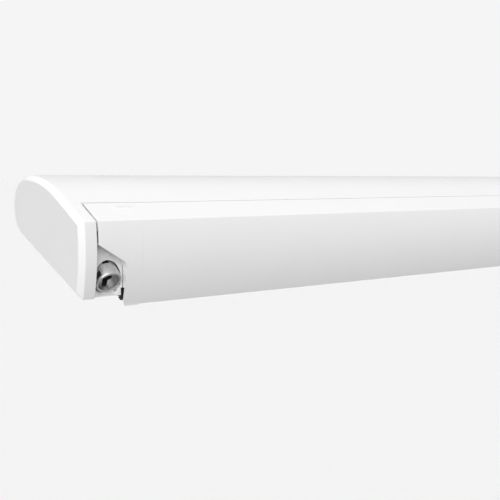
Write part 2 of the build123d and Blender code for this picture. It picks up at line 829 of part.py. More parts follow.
# Roof brackets: a saddle under the case, a flat foot on the roof and a web at the back
saddle_start = foot_front_depth
nose_turn = math.radians(underside_angle - 90 + bracket_nose_angle)
saddle_radius = nose_radius + seat_gap
outer_radius = saddle_radius + bracket_plate
start_turn = math.radians(underside_angle - 90)
middle_turn = (start_turn + nose_turn) / 2
saddle_front_height = underside(saddle_start) - seat_gap / cos_under
with BuildPart() as middle_roof_bracket:
    with BuildSketch(section(total_length / 2 - bracket_width / 2)):
        with BuildLine():
            Line((saddle_start, saddle_front_height), nose_point(saddle_radius, start_turn))
            ThreePointArc(
                nose_point(saddle_radius, start_turn),
                nose_point(saddle_radius, middle_turn),
                nose_point(saddle_radius, nose_turn),
            )
            Line(nose_point(saddle_radius, nose_turn), nose_point(outer_radius, nose_turn))
            web_top = nose_point(outer_radius, nose_turn)
            Polyline(
                web_top,
                (web_top[0], -foot_drop + foot_thickness),
                (foot_end, -foot_drop + foot_thickness),
                (foot_end, -foot_drop),
                (foot_front_depth, -foot_drop),
                (saddle_start, saddle_front_height),
            )
        make_face()
        with BuildLine():
            floor_height = -foot_drop + foot_thickness
            drop = saddle_drop / cos_under
            front_meet = sill_depth + (floor_height + sill_drop + drop) / tan_under
            wall_inside = web_top[0] - bracket_plate
            arc_end = math.acos((wall_inside - nose_depth) / outer_radius)
            hollow_middle = (start_turn - arc_end) / 2
            ThreePointArc(
                nose_point(outer_radius, start_turn),
                nose_point(outer_radius, hollow_middle),
                nose_point(outer_radius, -arc_end),
            )
            Polyline(
                nose_point(outer_radius, -arc_end),
                (wall_inside, floor_height),
                (front_meet, floor_height),
                nose_point(outer_radius, start_turn),
            )
        make_face(mode=Mode.SUBTRACT)
    extrude(amount=bracket_width)
    with Locations((0, case_front_y + foot_end - bracket_hole_inset, foot_thickness)):
        with GridLocations(bracket_hole_spacing, 0, 2, 1):
            Hole(bracket_hole_radius, depth=foot_thickness)
    add(saddle_bore, mode=Mode.SUBTRACT)
save(middle_roof_bracket.part, "middle_roof_bracket")
save(middle_roof_bracket.part.moved(Location((-bracket_spacing, 0, 0))), "left_roof_bracket")
save(middle_roof_bracket.part.moved(Location((bracket_spacing, 0, 0))), "right_roof_bracket")

# Self-tapping screws that hold each saddle to the case, from below
head_drop = saddle_drop + bracket_screw_head
with BuildPart() as bracket_screws:
    add(saddle_screws(bracket_screw_head_radius, head_drop, bracket_screw_head))
    add(saddle_screws(bracket_screw_radius, saddle_drop, saddle_drop + case_wall + bracket_screw_stick))
save(bracket_screws.part, "bracket_screws")

# Folding arms. Inner half: knuckle on the shoulder pin, tube, elbow fork and pin, spring and cable
clear_height = tube_height / 2 + ear_gap
tube_end = link_length - tube_stop
spigot_width = tube_width / 2 - tube_wall - spigot_gap
spigot_height = tube_height / 2 - tube_wall - spigot_gap


def arm_box(x_from, x_to, y, half_width, half_height):
    """Block along an arm whose centre line is at y, in the arm plane's own places."""
    with BuildPart() as block:
        with BuildSketch(arm_plane(-half_height)):
            with Locations(((x_from + x_to) / 2, y)):
                Rectangle(x_to - x_from, 2 * half_width)
        extrude(amount=2 * half_height)
    return block.part


def arm_disc(x, y, radius, low, high):
    """Round boss square to the arm plane."""
    with BuildPart() as disc:
        with BuildSketch(arm_plane(low)):
            with Locations((x, y)):
                Circle(radius)
        extrude(amount=high - low)
    return disc.part


def arm_tube(y):
    """Rectangular tube of one arm half, its centre line at y, with rounded edges and an open bore."""
    with BuildPart() as tube:
        add(arm_box(tube_start, tube_end, y, tube_width / 2, tube_height / 2))
        fillet(tube.edges().filter_by(Axis.X), 2 * tube_wall)
        bore = arm_box(
            tube_start - cut_overrun,
            tube_end + cut_overrun,
            y,
            tube_width / 2 - tube_wall,
            tube_height / 2 - tube_wall,
        )
        add(bore, mode=Mode.SUBTRACT)
    return tube.part


def end_knuckle(y):
    """Round knuckle on the pivot at x = 0, with a spigot in the tube's end."""
    with BuildPart() as knuckle:
        add(arm_disc(0, y, knuckle_radius, -tube_height / 2, tube_height / 2))
        add(arm_box(0, tube_start, y, knuckle_radius, tube_height / 2))
        add(arm_box(tube_start, tube_start + spigot_length, y, spigot_width, spigot_height))
        hole = arm_disc(0, y, arm_pin_radius + pin_gap, -tube_height, tube_height)
        add(hole, mode=Mode.SUBTRACT)
    return knuckle.part


def elbow_link(y, low, high):
    """Plate from a tube's end to the elbow pivot."""
    with BuildPart() as link:
        with BuildSketch(arm_plane(low)):
            with BuildLine():
                side = 1 if y > -elbow_offset else -1
                Polyline(
                    (tube_end, y - side * tube_width / 2),
                    (tube_end, y + side * tube_width / 2),
                    (link_length, -elbow_offset + side * elbow_radius),
                    (link_length, -elbow_offset),
                    (link_length - elbow_radius, -elbow_offset),
                    close=True,
                )
            make_face()
            with Locations((link_length, -elbow_offset)):
                Circle(elbow_radius)
        extrude(amount=high - low)
    return link.part


def elbow_end(y, levels):
    """Elbow casting: a spigot in the tube's end and plates at the given levels."""
    with BuildPart() as casting:
        add(arm_box(tube_end - spigot_length, tube_end, y, spigot_width, spigot_height))
        web = tube_wall + pin_gap
        add(arm_box(tube_end, tube_end + web, y, tube_width / 2, tube_height / 2))
        for low, high in levels:
            add(elbow_link(y, low, high))
        hole = arm_pin_radius + (pin_gap if len(levels) == 1 else 0)
        add(arm_disc(link_length, -elbow_offset, hole, -tube_height, tube_height), mode=Mode.SUBTRACT)
    return casting.part


fork_low = tongue_height / 2 + ear_gap
save_pair(arm_tube(0), "inner_arm_tube")
save_pair(end_knuckle(0), "shoulder_knuckle")
save_pair(elbow_end(0, [(-tube_height / 2, -fork_low), (fork_low, tube_height / 2)]), "elbow_fork")
save_pair(arm_tube(-elbow_pair), "outer_arm_tube")
save_pair(end_knuckle(-elbow_pair), "wrist_knuckle")
save_pair(elbow_end(-elbow_pair, [(-tongue_height / 2, tongue_height / 2)]), "elbow_knuckle")

with BuildPart() as elbow_pin:
    add(arm_disc(link_length, -elbow_offset, arm_pin_radius, -tube_height / 2, tube_height / 2))
    head = tube_height / 2 + pin_head
    add(arm_disc(link_length, -elbow_offset, pin_head_radius, tube_height / 2, head))
save_pair(elbow_pin.part, "elbow_pin")

along_arm = Plane(arm_plane().origin, x_dir=arm_plane().y_dir, z_dir=(1, 0, 0))
with BuildPart() as arm_spring:
    with BuildSketch(along_arm.offset(spring_start)):
        Circle(spring_radius)
        Circle(spring_radius - spring_wire, mode=Mode.SUBTRACT)
    extrude(amount=spring_length)
    with BuildSketch(along_arm.offset(spring_start)):
        Circle(spring_radius)
    extrude(amount=-spring_wire)
    with BuildSketch(along_arm.offset(tube_start + spigot_length)):
        Circle(spring_wire)
    extrude(amount=spring_start - tube_start - spigot_length)
save_pair(arm_spring.part, "arm_spring")

cable_start = spring_start + spring_length / 2
with BuildPart() as tension_cable:
    with BuildSketch(along_arm.offset(cable_start)):
        Circle(cable_radius)
    extrude(amount=tube_end - spigot_length - cable_start)
save_pair(tension_cable.part, "tension_cable")


# Brackets that hold the arms' ends: two ears and a web, drawn in the section, with a pin across
def ear_block(depth, height, web_side, x_middle):
    """Ears above and below an arm's end at a section point; the web is on the side given."""
    with BuildPart() as block:
        start = x_middle - arm_bracket_width / 2
        far = web_side * (web_distance + bracket_web)
        open_end = -web_side * elbow_radius
        top = clear_height + ear_thickness
        with BuildSketch(section(start)):
            with BuildLine():
                Polyline(
                    on_slope(depth, height, far, top),
                    on_slope(depth, height, open_end, top),
                    on_slope(depth, height, open_end, -top),
                    on_slope(depth, height, far, -top),
                    close=True,
                )
            make_face()
            with BuildLine():
                near = web_side * web_distance
                past = open_end - web_side * cut_overrun
                Polyline(
                    on_slope(depth, height, near, clear_height),
                    on_slope(depth, height, past, clear_height),
                    on_slope(depth, height, past, -clear_height),
                    on_slope(depth, height, near, -clear_height),
                    close=True,
                )
            make_face(mode=Mode.SUBTRACT)
        extrude(amount=arm_bracket_width)
    return block.part


ear_top = clear_height + ear_thickness

with BuildPart() as shoulder_bracket:
    add(ear_block(shoulder_depth, -shoulder_drop, 1, shoulder_x))
    heel_depth, heel_height = on_slope(shoulder_depth, -shoulder_drop, -elbow_radius, -clear_height)
    web_back = web_distance + bracket_web
    rear_depth, rear_height = on_slope(shoulder_depth, -shoulder_drop, web_back, -clear_height)
    floor_rise = (case_wall + seat_gap) / cos_under
    with BuildSketch(section(shoulder_x - arm_bracket_width / 2)):
        with BuildLine():
            Polyline(
                (heel_depth, heel_height),
                (heel_depth, underside(heel_depth) + floor_rise),
                (rear_depth, underside(rear_depth) + floor_rise),
                (rear_depth, rear_height),
                close=True,
            )
        make_face()
    extrude(amount=arm_bracket_width)
    add(arm_disc(0, 0, arm_pin_radius, -2 * tube_height, 2 * tube_height), mode=Mode.SUBTRACT)
    add(below_case(2 * shoulder_x, floor_rise), mode=Mode.SUBTRACT)
save_pair(shoulder_bracket.part, "shoulder_bracket")

with BuildPart() as wrist_bracket:
    add(ear_block(wrist_depth, wrist_height, -1, shoulder_x))
    bracket_start = shoulder_x - arm_bracket_width / 2
    web_in_depth, web_in_height = on_slope(wrist_depth, wrist_height, -web_distance, -clear_height)
    with BuildSketch(section(bracket_start)):
        with BuildLine():
            Polyline(
                (box_back_depth, on_slope(wrist_depth, wrist_height, -web_distance, clear_height)[1]),
                on_slope(wrist_depth, wrist_height, -web_distance, clear_height),
                (web_in_depth, web_in_height),
                (web_in_depth, -pocket_roof_drop),
                (box_back_depth, -pocket_roof_drop),
                close=True,
            )
        make_face()
    extrude(amount=arm_bracket_width)
    cut_start = bracket_start - cut_overrun
    front = box_face(cut_start, -total_length, box_back_depth, -total_length, total_length)
    extrude(front, amount=arm_bracket_width + 2 * cut_overrun, mode=Mode.SUBTRACT)
    low = box_face(cut_start, -total_length, total_length, -total_length, -pocket_roof_drop)
    extrude(low, amount=arm_bracket_width + 2 * cut_overrun, mode=Mode.SUBTRACT)
    add(arm_disc(0, -elbow_pair, arm_pin_radius, -2 * tube_height, 2 * tube_height), mode=Mode.SUBTRACT)
save_pair(wrist_bracket.part, "wrist_bracket")


def arm_pin(y):
    """Headed pin through both ears of an arm's bracket."""
    with BuildPart() as pin:
        add(arm_disc(0, y, arm_pin_radius, -ear_top, ear_top))
        add(arm_disc(0, y, pin_head_radius, ear_top, ear_top + pin_head))
    return pin.part


shoulder_pin = arm_pin(0)
wrist_pin = arm_pin(-elbow_pair)
save(Compound(children=[shoulder_pin, mirror(shoulder_pin, about=Plane.YZ)]), "shoulder_pins")
save(Compound(children=[wrist_pin, mirror(wrist_pin, about=Plane.YZ)]), "wrist_pins")

# Lead rail and its end caps; the left cap has the notch that frees the crank eye
heights = (strip_height, -pocket_roof_drop, -pocket_roof_drop - rail_wall)
rail_strips = strips(
    rail_section(rail_cap_end, total_length - rail_cap_end), [level_cut(0, height) for height in heights]
)
save(rail_strips, "lead_rail_profile")

cap_open_end = rail_notch_right
rail_start = cap_depth + rail_end_gap


def notch_block(depth, grow=0):
    """Everything in front of a depth within the left cap's notch, whose outline grows by a margin."""
    start = left_end + rail_start - cut_overrun
    edge_x = left_end + rail_notch_right
    mouth_z = case_top_z - crank_mouth_drop
    foot_z = case_top_z - rail_drop
    flare_x = edge_x + notch_foot_flare
    with BuildPart() as block:
        with BuildSketch(Plane.XZ.offset(total_length)):
            with BuildLine():
                edge = FilletPolyline(
                    (start, mouth_z + notch_top_rise),
                    (edge_x, mouth_z + notch_corner_rise),
                    (edge_x, foot_z + notch_foot_rise),
                    radius=rail_notch_radius,
                )
                Polyline(
                    edge @ 1,
                    (flare_x, foot_z),
                    (flare_x, foot_z - rail_drop),
                    (start, foot_z - rail_drop),
                    (start, mouth_z + notch_top_rise),
                )
            make_face()
            if grow:
                offset(amount=grow, kind=Kind.INTERSECTION)
        extrude(amount=-total_length - case_front_y - depth)
    return block.part


def notch_return():
    """Wall turned in along the notch's edge, from within the skin to just short of the front panel."""
    with BuildPart() as wall:
        add(notch_block(panel_depth - running_gap, notch_wall))
        within = rail_outline(rail_start, rail_wall / 2)
        extrude(within, amount=rail_cap_end - rail_start, mode=Mode.INTERSECT)
        low = box_face(rail_start, -total_length, total_length, -total_length, -notch_wall_drop)
        extrude(low, amount=rail_cap_end - rail_start, mode=Mode.SUBTRACT)
    return wall.part


def cap_end_plate():
    """Plate across the outer end of the rail cap, behind its skins."""
    with BuildPart() as plate:
        extrude(rail_outline(rail_start, rail_wall / 2), amount=cap_end_wall)
        limits = box_face(
            rail_start,
            front_bulge_depth,
            box_back_depth,
            -panel_top_drop + panel_thickness,
            welt_height - welt_radius,
        )
        extrude(limits, amount=cap_end_wall, mode=Mode.INTERSECT)
    return plate.part


def rail_cap(notched):
    """End cap of the lead rail at the left end."""
    with BuildPart() as cap:
        add(rail_section(cap_open_end, rail_cap_end))
        add(rail_skins(rail_start, cap_open_end))
        add(cap_end_plate())
        foot_start = cap_open_end + notch_foot_flare
        foot = box_face(
            foot_start, rail_foot_depth, rail_foot_depth + rail_wall, -rail_drop - rail_cap_sink, -rail_drop
        )
        extrude(foot, amount=rail_cap_end - foot_start)
        behind = box_face(
            cap_open_end,
            pocket_back_depth - rail_wall - pocket_lip,
            pocket_back_depth,
            -rail_drop,
            leg_hinge_lift - leg_drop - leg_height / 2,
        )
        extrude(behind, amount=rail_cap_end - cap_open_end, mode=Mode.SUBTRACT)
        if notched:
            add(notch_return())
            add(notch_block(total_length), mode=Mode.SUBTRACT)
    return cap.part


save(rail_cap(True), "left_rail_cap")
save(mirror(rail_cap(False), about=Plane.YZ), "right_rail_cap")

# Support legs. Hinge block with two ears, hinge pin, telescopic tubes, foot and clamp lever
leg_middle = -leg_drop
ear_in = leg_width / 2 + running_gap


def leg_block(x_from, x_to, half_width, low, high):
    """Block on the leg's centre line, in distances from the leg's pivot."""
    start = leg_pivot_x + x_from
    with BuildPart() as block:
        face = box_face(
            start, leg_depth - half_width, leg_depth + half_width, leg_middle + low, leg_middle + high
        )
        extrude(face, amount=x_to - x_from)
    return block.part


def leg_round(x, height, radius, half_width, middle=leg_depth):
    """Round boss along the depth about a middle, at a distance from the leg's pivot."""
    start = case_front_y + middle - half_width
    origin = (left_end + leg_pivot_x + x, start, case_top_z + leg_middle + height)
    with BuildPart() as boss:
        with BuildSketch(Plane(origin=origin, x_dir=(1, 0, 0), z_dir=(0, 1, 0))):
            Circle(radius)
        extrude(amount=2 * half_width)
    return boss.part


half_leg = leg_height / 2
with BuildPart() as leg_hinge:
    block_from = leg_block_start - leg_pivot_x
    hinge_low = leg_hinge_lift - half_leg
    add(leg_block(block_from, leg_block_end - leg_pivot_x, hinge_reach, hinge_low, half_leg))
    for side in (-1, 1):
        middle = leg_depth + side * (ear_in + leg_ear / 2)
        ear = box_face(
            leg_block_end,
            middle - leg_ear / 2,
            middle + leg_ear / 2,
            leg_middle + hinge_low,
            leg_middle + half_leg,
        )
        extrude(ear, amount=leg_ear_end - leg_block_end)
    nose = box_face(
        leg_nose_start,
        leg_depth - hinge_reach,
        leg_depth - hinge_reach + leg_nose_width,
        -leg_nose_bottom_drop,
        leg_nose_top,
    )
    extrude(nose, amount=leg_block_end - leg_nose_start)
    tip_bottom = leg_tip_rise - leg_nose_bottom_drop
    tip = box_face(
        leg_nose_start - leg_tip_reach,
        leg_depth - hinge_reach,
        leg_depth - hinge_reach + leg_nose_width,
        tip_bottom,
        tip_bottom + leg_tip_height,
    )
    extrude(tip, amount=leg_tip_reach)
    add(leg_round(0, 0, leg_pin_radius, pocket_back_depth), mode=Mode.SUBTRACT)
save_pair(leg_hinge.part, "leg_hinge")

leg_pin = leg_round(0, 0, leg_pin_radius, hinge_reach)
save(Compound(children=[leg_pin, mirror(leg_pin, about=Plane.YZ)]), "leg_hinge_pins")

lever_height = -half_leg - lever_boss_radius
with BuildPart() as leg_outer_tube:
    add(leg_round(0, 0, half_leg, leg_width / 2))
    add(leg_block(0, leg_length, leg_width / 2, -half_leg, half_leg))
    add(
        leg_block(
            leg_inner_start - leg_inner_gap,
            leg_length + cut_overrun,
            leg_width / 2 - leg_wall,
            -half_leg + leg_wall,
            half_leg - leg_wall,
        ),
        mode=Mode.SUBTRACT,
    )
    for side in (-1, 1):
        inner = lever_width / 2 + running_gap
        middle = leg_depth + side * (inner + lever_tab / 2)
        add(leg_round(lever_pivot, lever_height, lever_boss_radius, lever_tab / 2, middle))
        tab = box_face(
            leg_pivot_x + lever_pivot - lever_boss_radius,
            middle - lever_tab / 2,
            middle + lever_tab / 2,
            leg_middle + lever_height,
            leg_middle - half_leg,
        )
        extrude(tab, amount=2 * lever_boss_radius)
    lever_hole = leg_round(lever_pivot, lever_height, lever_pin_radius + pin_gap, pocket_back_depth)
    add(lever_hole, mode=Mode.SUBTRACT)
    add(leg_round(0, 0, leg_pin_radius + pin_gap, pocket_back_depth), mode=Mode.SUBTRACT)
save_pair(leg_outer_tube.part, "leg_outer_tube")

inner_width = leg_width / 2 - leg_wall - leg_inner_gap
inner_height = half_leg - leg_wall - leg_inner_gap
with BuildPart() as leg_inner_tube:
    add(leg_block(leg_inner_start, leg_inner_stop, inner_width, -inner_height, inner_height))
    add(
        leg_block(
            leg_inner_start - cut_overrun,
            leg_inner_stop - foot_boss_radius,
            inner_width - leg_wall,
            -inner_height + leg_wall,
            inner_height - leg_wall,
        ),
        mode=Mode.SUBTRACT,
    )
    for side in (-1, 1):
        middle = leg_depth + side * (foot_boss_width / 2 + running_gap + foot_cheek / 2)
        cheek = box_face(
            leg_pivot_x + leg_inner_stop,
            middle - foot_cheek / 2,
            middle + foot_cheek / 2,
            leg_middle - foot_boss_radius,
            leg_middle + foot_boss_radius,
        )
        extrude(cheek, amount=foot_pivot - leg_inner_stop)
        add(leg_round(foot_pivot, 0, foot_boss_radius, foot_cheek / 2, middle))
    foot_hole = leg_round(foot_pivot, 0, foot_trunnion_radius + pin_gap, pocket_back_depth)
    add(foot_hole, mode=Mode.SUBTRACT)
save_pair(leg_inner_tube.part, "leg_inner_tube")

# Foot: a plate that lies in line with the stored leg and folds square to it, with a peg hole
plate_gap = foot_boss_radius + running_gap
with BuildPart() as leg_foot:
    add(leg_round(foot_pivot, 0, foot_boss_radius, foot_boss_width / 2))
    trunnion = foot_boss_width / 2 + running_gap + foot_cheek
    add(leg_round(foot_pivot, 0, foot_trunnion_radius, trunnion))
    add(
        leg_block(
            foot_pivot,
            foot_pivot + plate_gap + foot_plate,
            foot_boss_width / 2,
            -foot_boss_radius,
            foot_boss_radius,
        )
    )
    add(
        leg_block(
            foot_pivot + plate_gap,
            foot_pivot + foot_length,
            foot_width / 2,
            foot_boss_radius - foot_plate,
            foot_boss_radius,
        )
    )
    peg_x = left_end + leg_pivot_x + foot_pivot + foot_peg_place
    peg_z = case_top_z + leg_middle + foot_boss_radius
    with Locations((peg_x, case_front_y + leg_depth, peg_z)):
        Hole(foot_peg_radius, depth=foot_plate)
save_pair(leg_foot.part, "leg_foot")

with BuildPart() as leg_clamp_lever:
    add(leg_round(lever_pivot, lever_height, lever_boss_radius, lever_width / 2))
    pin_reach = lever_width / 2 + running_gap + lever_tab
    add(leg_round(lever_pivot, lever_height, lever_pin_radius, pin_reach))
    add(
        leg_block(
            lever_pivot - lever_length,
            lever_pivot,
            lever_width / 2,
            lever_height - lever_thickness / 2,
            lever_height + lever_thickness / 2,
        )
    )
save_pair(leg_clamp_lever.part, "leg_clamp_lever")
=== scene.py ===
import bpy
import json
import math
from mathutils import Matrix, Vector


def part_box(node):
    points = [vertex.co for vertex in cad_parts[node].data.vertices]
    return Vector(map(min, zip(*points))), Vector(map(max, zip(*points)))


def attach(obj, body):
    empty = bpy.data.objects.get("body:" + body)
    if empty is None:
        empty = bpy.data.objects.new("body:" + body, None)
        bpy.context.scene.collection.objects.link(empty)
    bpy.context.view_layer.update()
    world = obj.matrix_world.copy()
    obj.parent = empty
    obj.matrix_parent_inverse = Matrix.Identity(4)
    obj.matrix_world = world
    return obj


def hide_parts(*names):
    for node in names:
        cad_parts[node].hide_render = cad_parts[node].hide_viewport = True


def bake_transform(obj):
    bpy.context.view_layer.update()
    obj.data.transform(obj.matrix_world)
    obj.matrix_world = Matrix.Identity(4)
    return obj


# Closed cassette awning, seen from its left end. Metres; X along the case, -Y the front, Z up.
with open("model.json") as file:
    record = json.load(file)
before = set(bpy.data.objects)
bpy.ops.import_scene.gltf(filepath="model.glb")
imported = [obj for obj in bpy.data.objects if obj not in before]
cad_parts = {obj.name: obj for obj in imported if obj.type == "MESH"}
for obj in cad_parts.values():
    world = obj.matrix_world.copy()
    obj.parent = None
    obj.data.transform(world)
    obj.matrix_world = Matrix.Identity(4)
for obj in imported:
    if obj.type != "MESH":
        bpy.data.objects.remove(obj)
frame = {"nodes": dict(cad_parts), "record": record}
nodes = frame["nodes"]
bodyOf = {node: body for body, held in frame["record"]["behaviour"]["bodies"].items() for node in held}
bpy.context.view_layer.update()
mm = 0.001
print("frame loaded:", len(nodes), "nodes")

# depth counts back from the front plane, height up from the top front edge, x from the left end
case = {
    "leftEnd": -1.3, "length": 2.6, "frontY": -0.137004, "topZ": 0.066,
    "nose": (0.132008, 0.011013), "noseRadius": 0.037,
    "crown": (0.056, 0.0305), "brow": (-0.002, 0.0), "bulge": (-0.0035, -0.038), "sill": (0.004, -0.081013),
    "wall": 0.0024, "mouthTop": 0.0315, "mouthFloor": 0.037, "capLength": 0.062, "arcSteps": 28,
}


def place(x, depth, height):
    return Vector((case["leftEnd"] + x, case["frontY"] + depth, case["topZ"] + height))


def deselect():
    if bpy.context.object and bpy.context.object.mode != "OBJECT":
        bpy.ops.object.mode_set(mode="OBJECT")
    bpy.ops.object.select_all(action="DESELECT")


def hold(piece):
    deselect()
    piece.select_set(True)
    bpy.context.view_layer.objects.active = piece
    return piece


def editAll(piece):
    hold(piece)
    bpy.ops.object.mode_set(mode="EDIT")
    bpy.ops.mesh.select_all(action="SELECT")


def backToObject():
    bpy.ops.object.mode_set(mode="OBJECT")


def settle(piece):  # the place goes into the mesh
    hold(piece)
    bpy.ops.object.transform_apply(location=True, rotation=True, scale=True)
    return piece


def addModifier(piece, kind, **settings):
    hold(piece)
    modifier = piece.modifiers.new(kind.title(), kind)
    for name, value in settings.items():
        setattr(modifier, name, value)
    bpy.ops.object.modifier_apply(modifier=modifier.name)
    return piece


def roundEdges(piece, width, steps=2, angle=30):
    addModifier(piece, "BEVEL", width=width, segments=steps, limit_method="ANGLE",
                angle_limit=math.radians(angle), use_clamp_overlap=True)
    hold(piece)
    bpy.ops.object.shade_smooth_by_angle(angle=math.radians(angle))
    return addModifier(piece, "WEIGHTED_NORMAL", keep_sharp=True)


def joinPieces(pieces):
    deselect()
    for piece in pieces:
        piece.select_set(True)
    bpy.context.view_layer.objects.active = pieces[0]
    if len(pieces) > 1:
        bpy.ops.object.join()
    return pieces[0]


def finishPiece(piece, name, material, body=None, stands=()):
    piece.name = name
    piece.data.name = name
    piece.data.materials.clear()
    piece.data.materials.append(material)
    if body:
        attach(piece, body)
    if stands:
        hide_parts(*stands)
    return piece


weld = {"doubles": 0.005 * mm, "flat": 0.5}  # flat in degrees


def copyNode(node):  # a copy of a CAD node's mesh with its loose triangles merged into plain faces
    piece = bpy.data.objects.new(node + "Copy", nodes[node].data.copy())
    bpy.context.scene.collection.objects.link(piece)
    hold(piece)
    if piece.data.has_custom_normals:
        bpy.ops.mesh.customdata_custom_splitnormals_clear()
    editAll(piece)
    bpy.ops.mesh.remove_doubles(threshold=weld["doubles"])
    bpy.ops.mesh.dissolve_limited(angle_limit=math.radians(weld["flat"]))
    backToObject()
    return piece


# Materials

# low and high are the part of a noise's range that counts
noise = {"low": 0.3, "high": 0.7, "toneDetail": 4.0, "glossDetail": 3.0}
evenly = (1, 1, 1)


def newMaterial(name, colour, roughness, metallic=0.0, **sockets):
    made = bpy.data.materials.new(name)
    made.use_nodes = True
    shader = made.node_tree.nodes["Principled BSDF"]
    shader.inputs["Base Color"].default_value = (*colour, 1)
    shader.inputs["Roughness"].default_value = roughness
    shader.inputs["Metallic"].default_value = metallic
    for socket, value in sockets.items():
        shader.inputs[socket.replace("_", " ")].default_value = value
    return made


def addNode(made, kind, **values):
    node = made.node_tree.nodes.new(kind)
    for name, value in values.items():
        key = name.replace("_", " ")
        if key in node.inputs:
            node.inputs[key].default_value = value
        else:
            setattr(node, name, value)
    return node


def wire(made, source, target):
    made.node_tree.links.new(source, target)


def surfacePlace(made, stretch=evenly, coords="Object"):
    where = addNode(made, "ShaderNodeTexCoord")
    turn = addNode(made, "ShaderNodeMapping")
    turn.inputs["Scale"].default_value = stretch
    wire(made, where.outputs[coords], turn.inputs["Vector"])
    return turn.outputs["Vector"]


def spread(made, factor, low, high):  # a factor spread between two values
    ramp = addNode(made, "ShaderNodeMapRange")
    ramp.inputs["From Min"].default_value = noise["low"]
    ramp.inputs["From Max"].default_value = noise["high"]
    ramp.inputs["To Min"].default_value = low
    ramp.inputs["To Max"].default_value = high
    wire(made, factor, ramp.inputs["Value"])
    return ramp.outputs["Result"]


def mottle(made, dark, light, size, stretch=evenly, detail=noise["toneDetail"]):
    patches = addNode(made, "ShaderNodeTexNoise", Scale=1 / size, Detail=detail)
    wire(made, surfacePlace(made, stretch), patches.inputs["Vector"])
    mix = addNode(made, "ShaderNodeMix", data_type="RGBA")
    mix.inputs[6].default_value = (*dark, 1)
    mix.inputs[7].default_value = (*light, 1)
    wire(made, spread(made, patches.outputs["Fac"], 0, 1), mix.inputs[0])
    wire(made, mix.outputs[2], made.node_tree.nodes["Principled BSDF"].inputs["Base Color"])


def varyRoughness(made, low, high, size, stretch=evenly, coords="Object"):
    patches = addNode(made, "ShaderNodeTexNoise", Scale=1 / size, Detail=noise["glossDetail"])
    wire(made, surfacePlace(made, stretch, coords), patches.inputs["Vector"])
    out = spread(made, patches.outputs["Fac"], low, high)
    wire(made, out, made.node_tree.nodes["Principled BSDF"].inputs["Roughness"])


def addBump(made, height, distance, strength):
    shader = made.node_tree.nodes["Principled BSDF"]
    bump = addNode(made, "ShaderNodeBump", Distance=distance, Strength=strength)
    wire(made, height, bump.inputs["Height"])
    if shader.inputs["Normal"].links:
        wire(made, shader.inputs["Normal"].links[0].from_socket, bump.inputs["Normal"])
    wire(made, bump.outputs["Normal"], shader.inputs["Normal"])


def grain(made, size, distance, strength, stretch=evenly, cells=False):
    kind = "ShaderNodeTexVoronoi" if cells else "ShaderNodeTexNoise"
    pattern = addNode(made, kind, Scale=1 / size)
    wire(made, surfacePlace(made, stretch), pattern.inputs["Vector"])
    addBump(made, pattern.outputs["Distance" if cells else "Fac"], distance, strength)


def grey(tone):
    return (tone, tone, tone)


def blackMoulding(tone, roughness, width):
    return {"colour": grey(tone), "roughness": roughness,
            "tones": (grey(tone * 0.8), grey(tone * 1.35), 0.008),
            "gloss": (roughness - 0.06, roughness + 0.08, 0.005),
            "grain": (width, 0.00002, 0.6), "cells": True}


def turnedMetal(tone, width, drawn=evenly):
    return {"colour": (tone, tone, tone * 1.01), "roughness": 0.28, "metallic": 1.0,
            "tones": (grey(tone * 0.92), grey(tone * 1.06), width * 6), "gloss": (0.2, 0.36, width * 3),
            "grain": (width, 0.00002, 0.6), "drawn": (drawn, drawn, drawn)}


def anodised(low, high, streak):  # its streaks run along the profile
    return {"colour": high, "roughness": 0.3, "metallic": 1.0, "tones": (low, high, 0.02),
            "gloss": (0.24, 0.38, 0.01), "grain": (streak, 0.000015, 0.6),
            "drawn": ((0.05, 1, 1), (0.03, 1, 1), (0.01, 1, 1))}


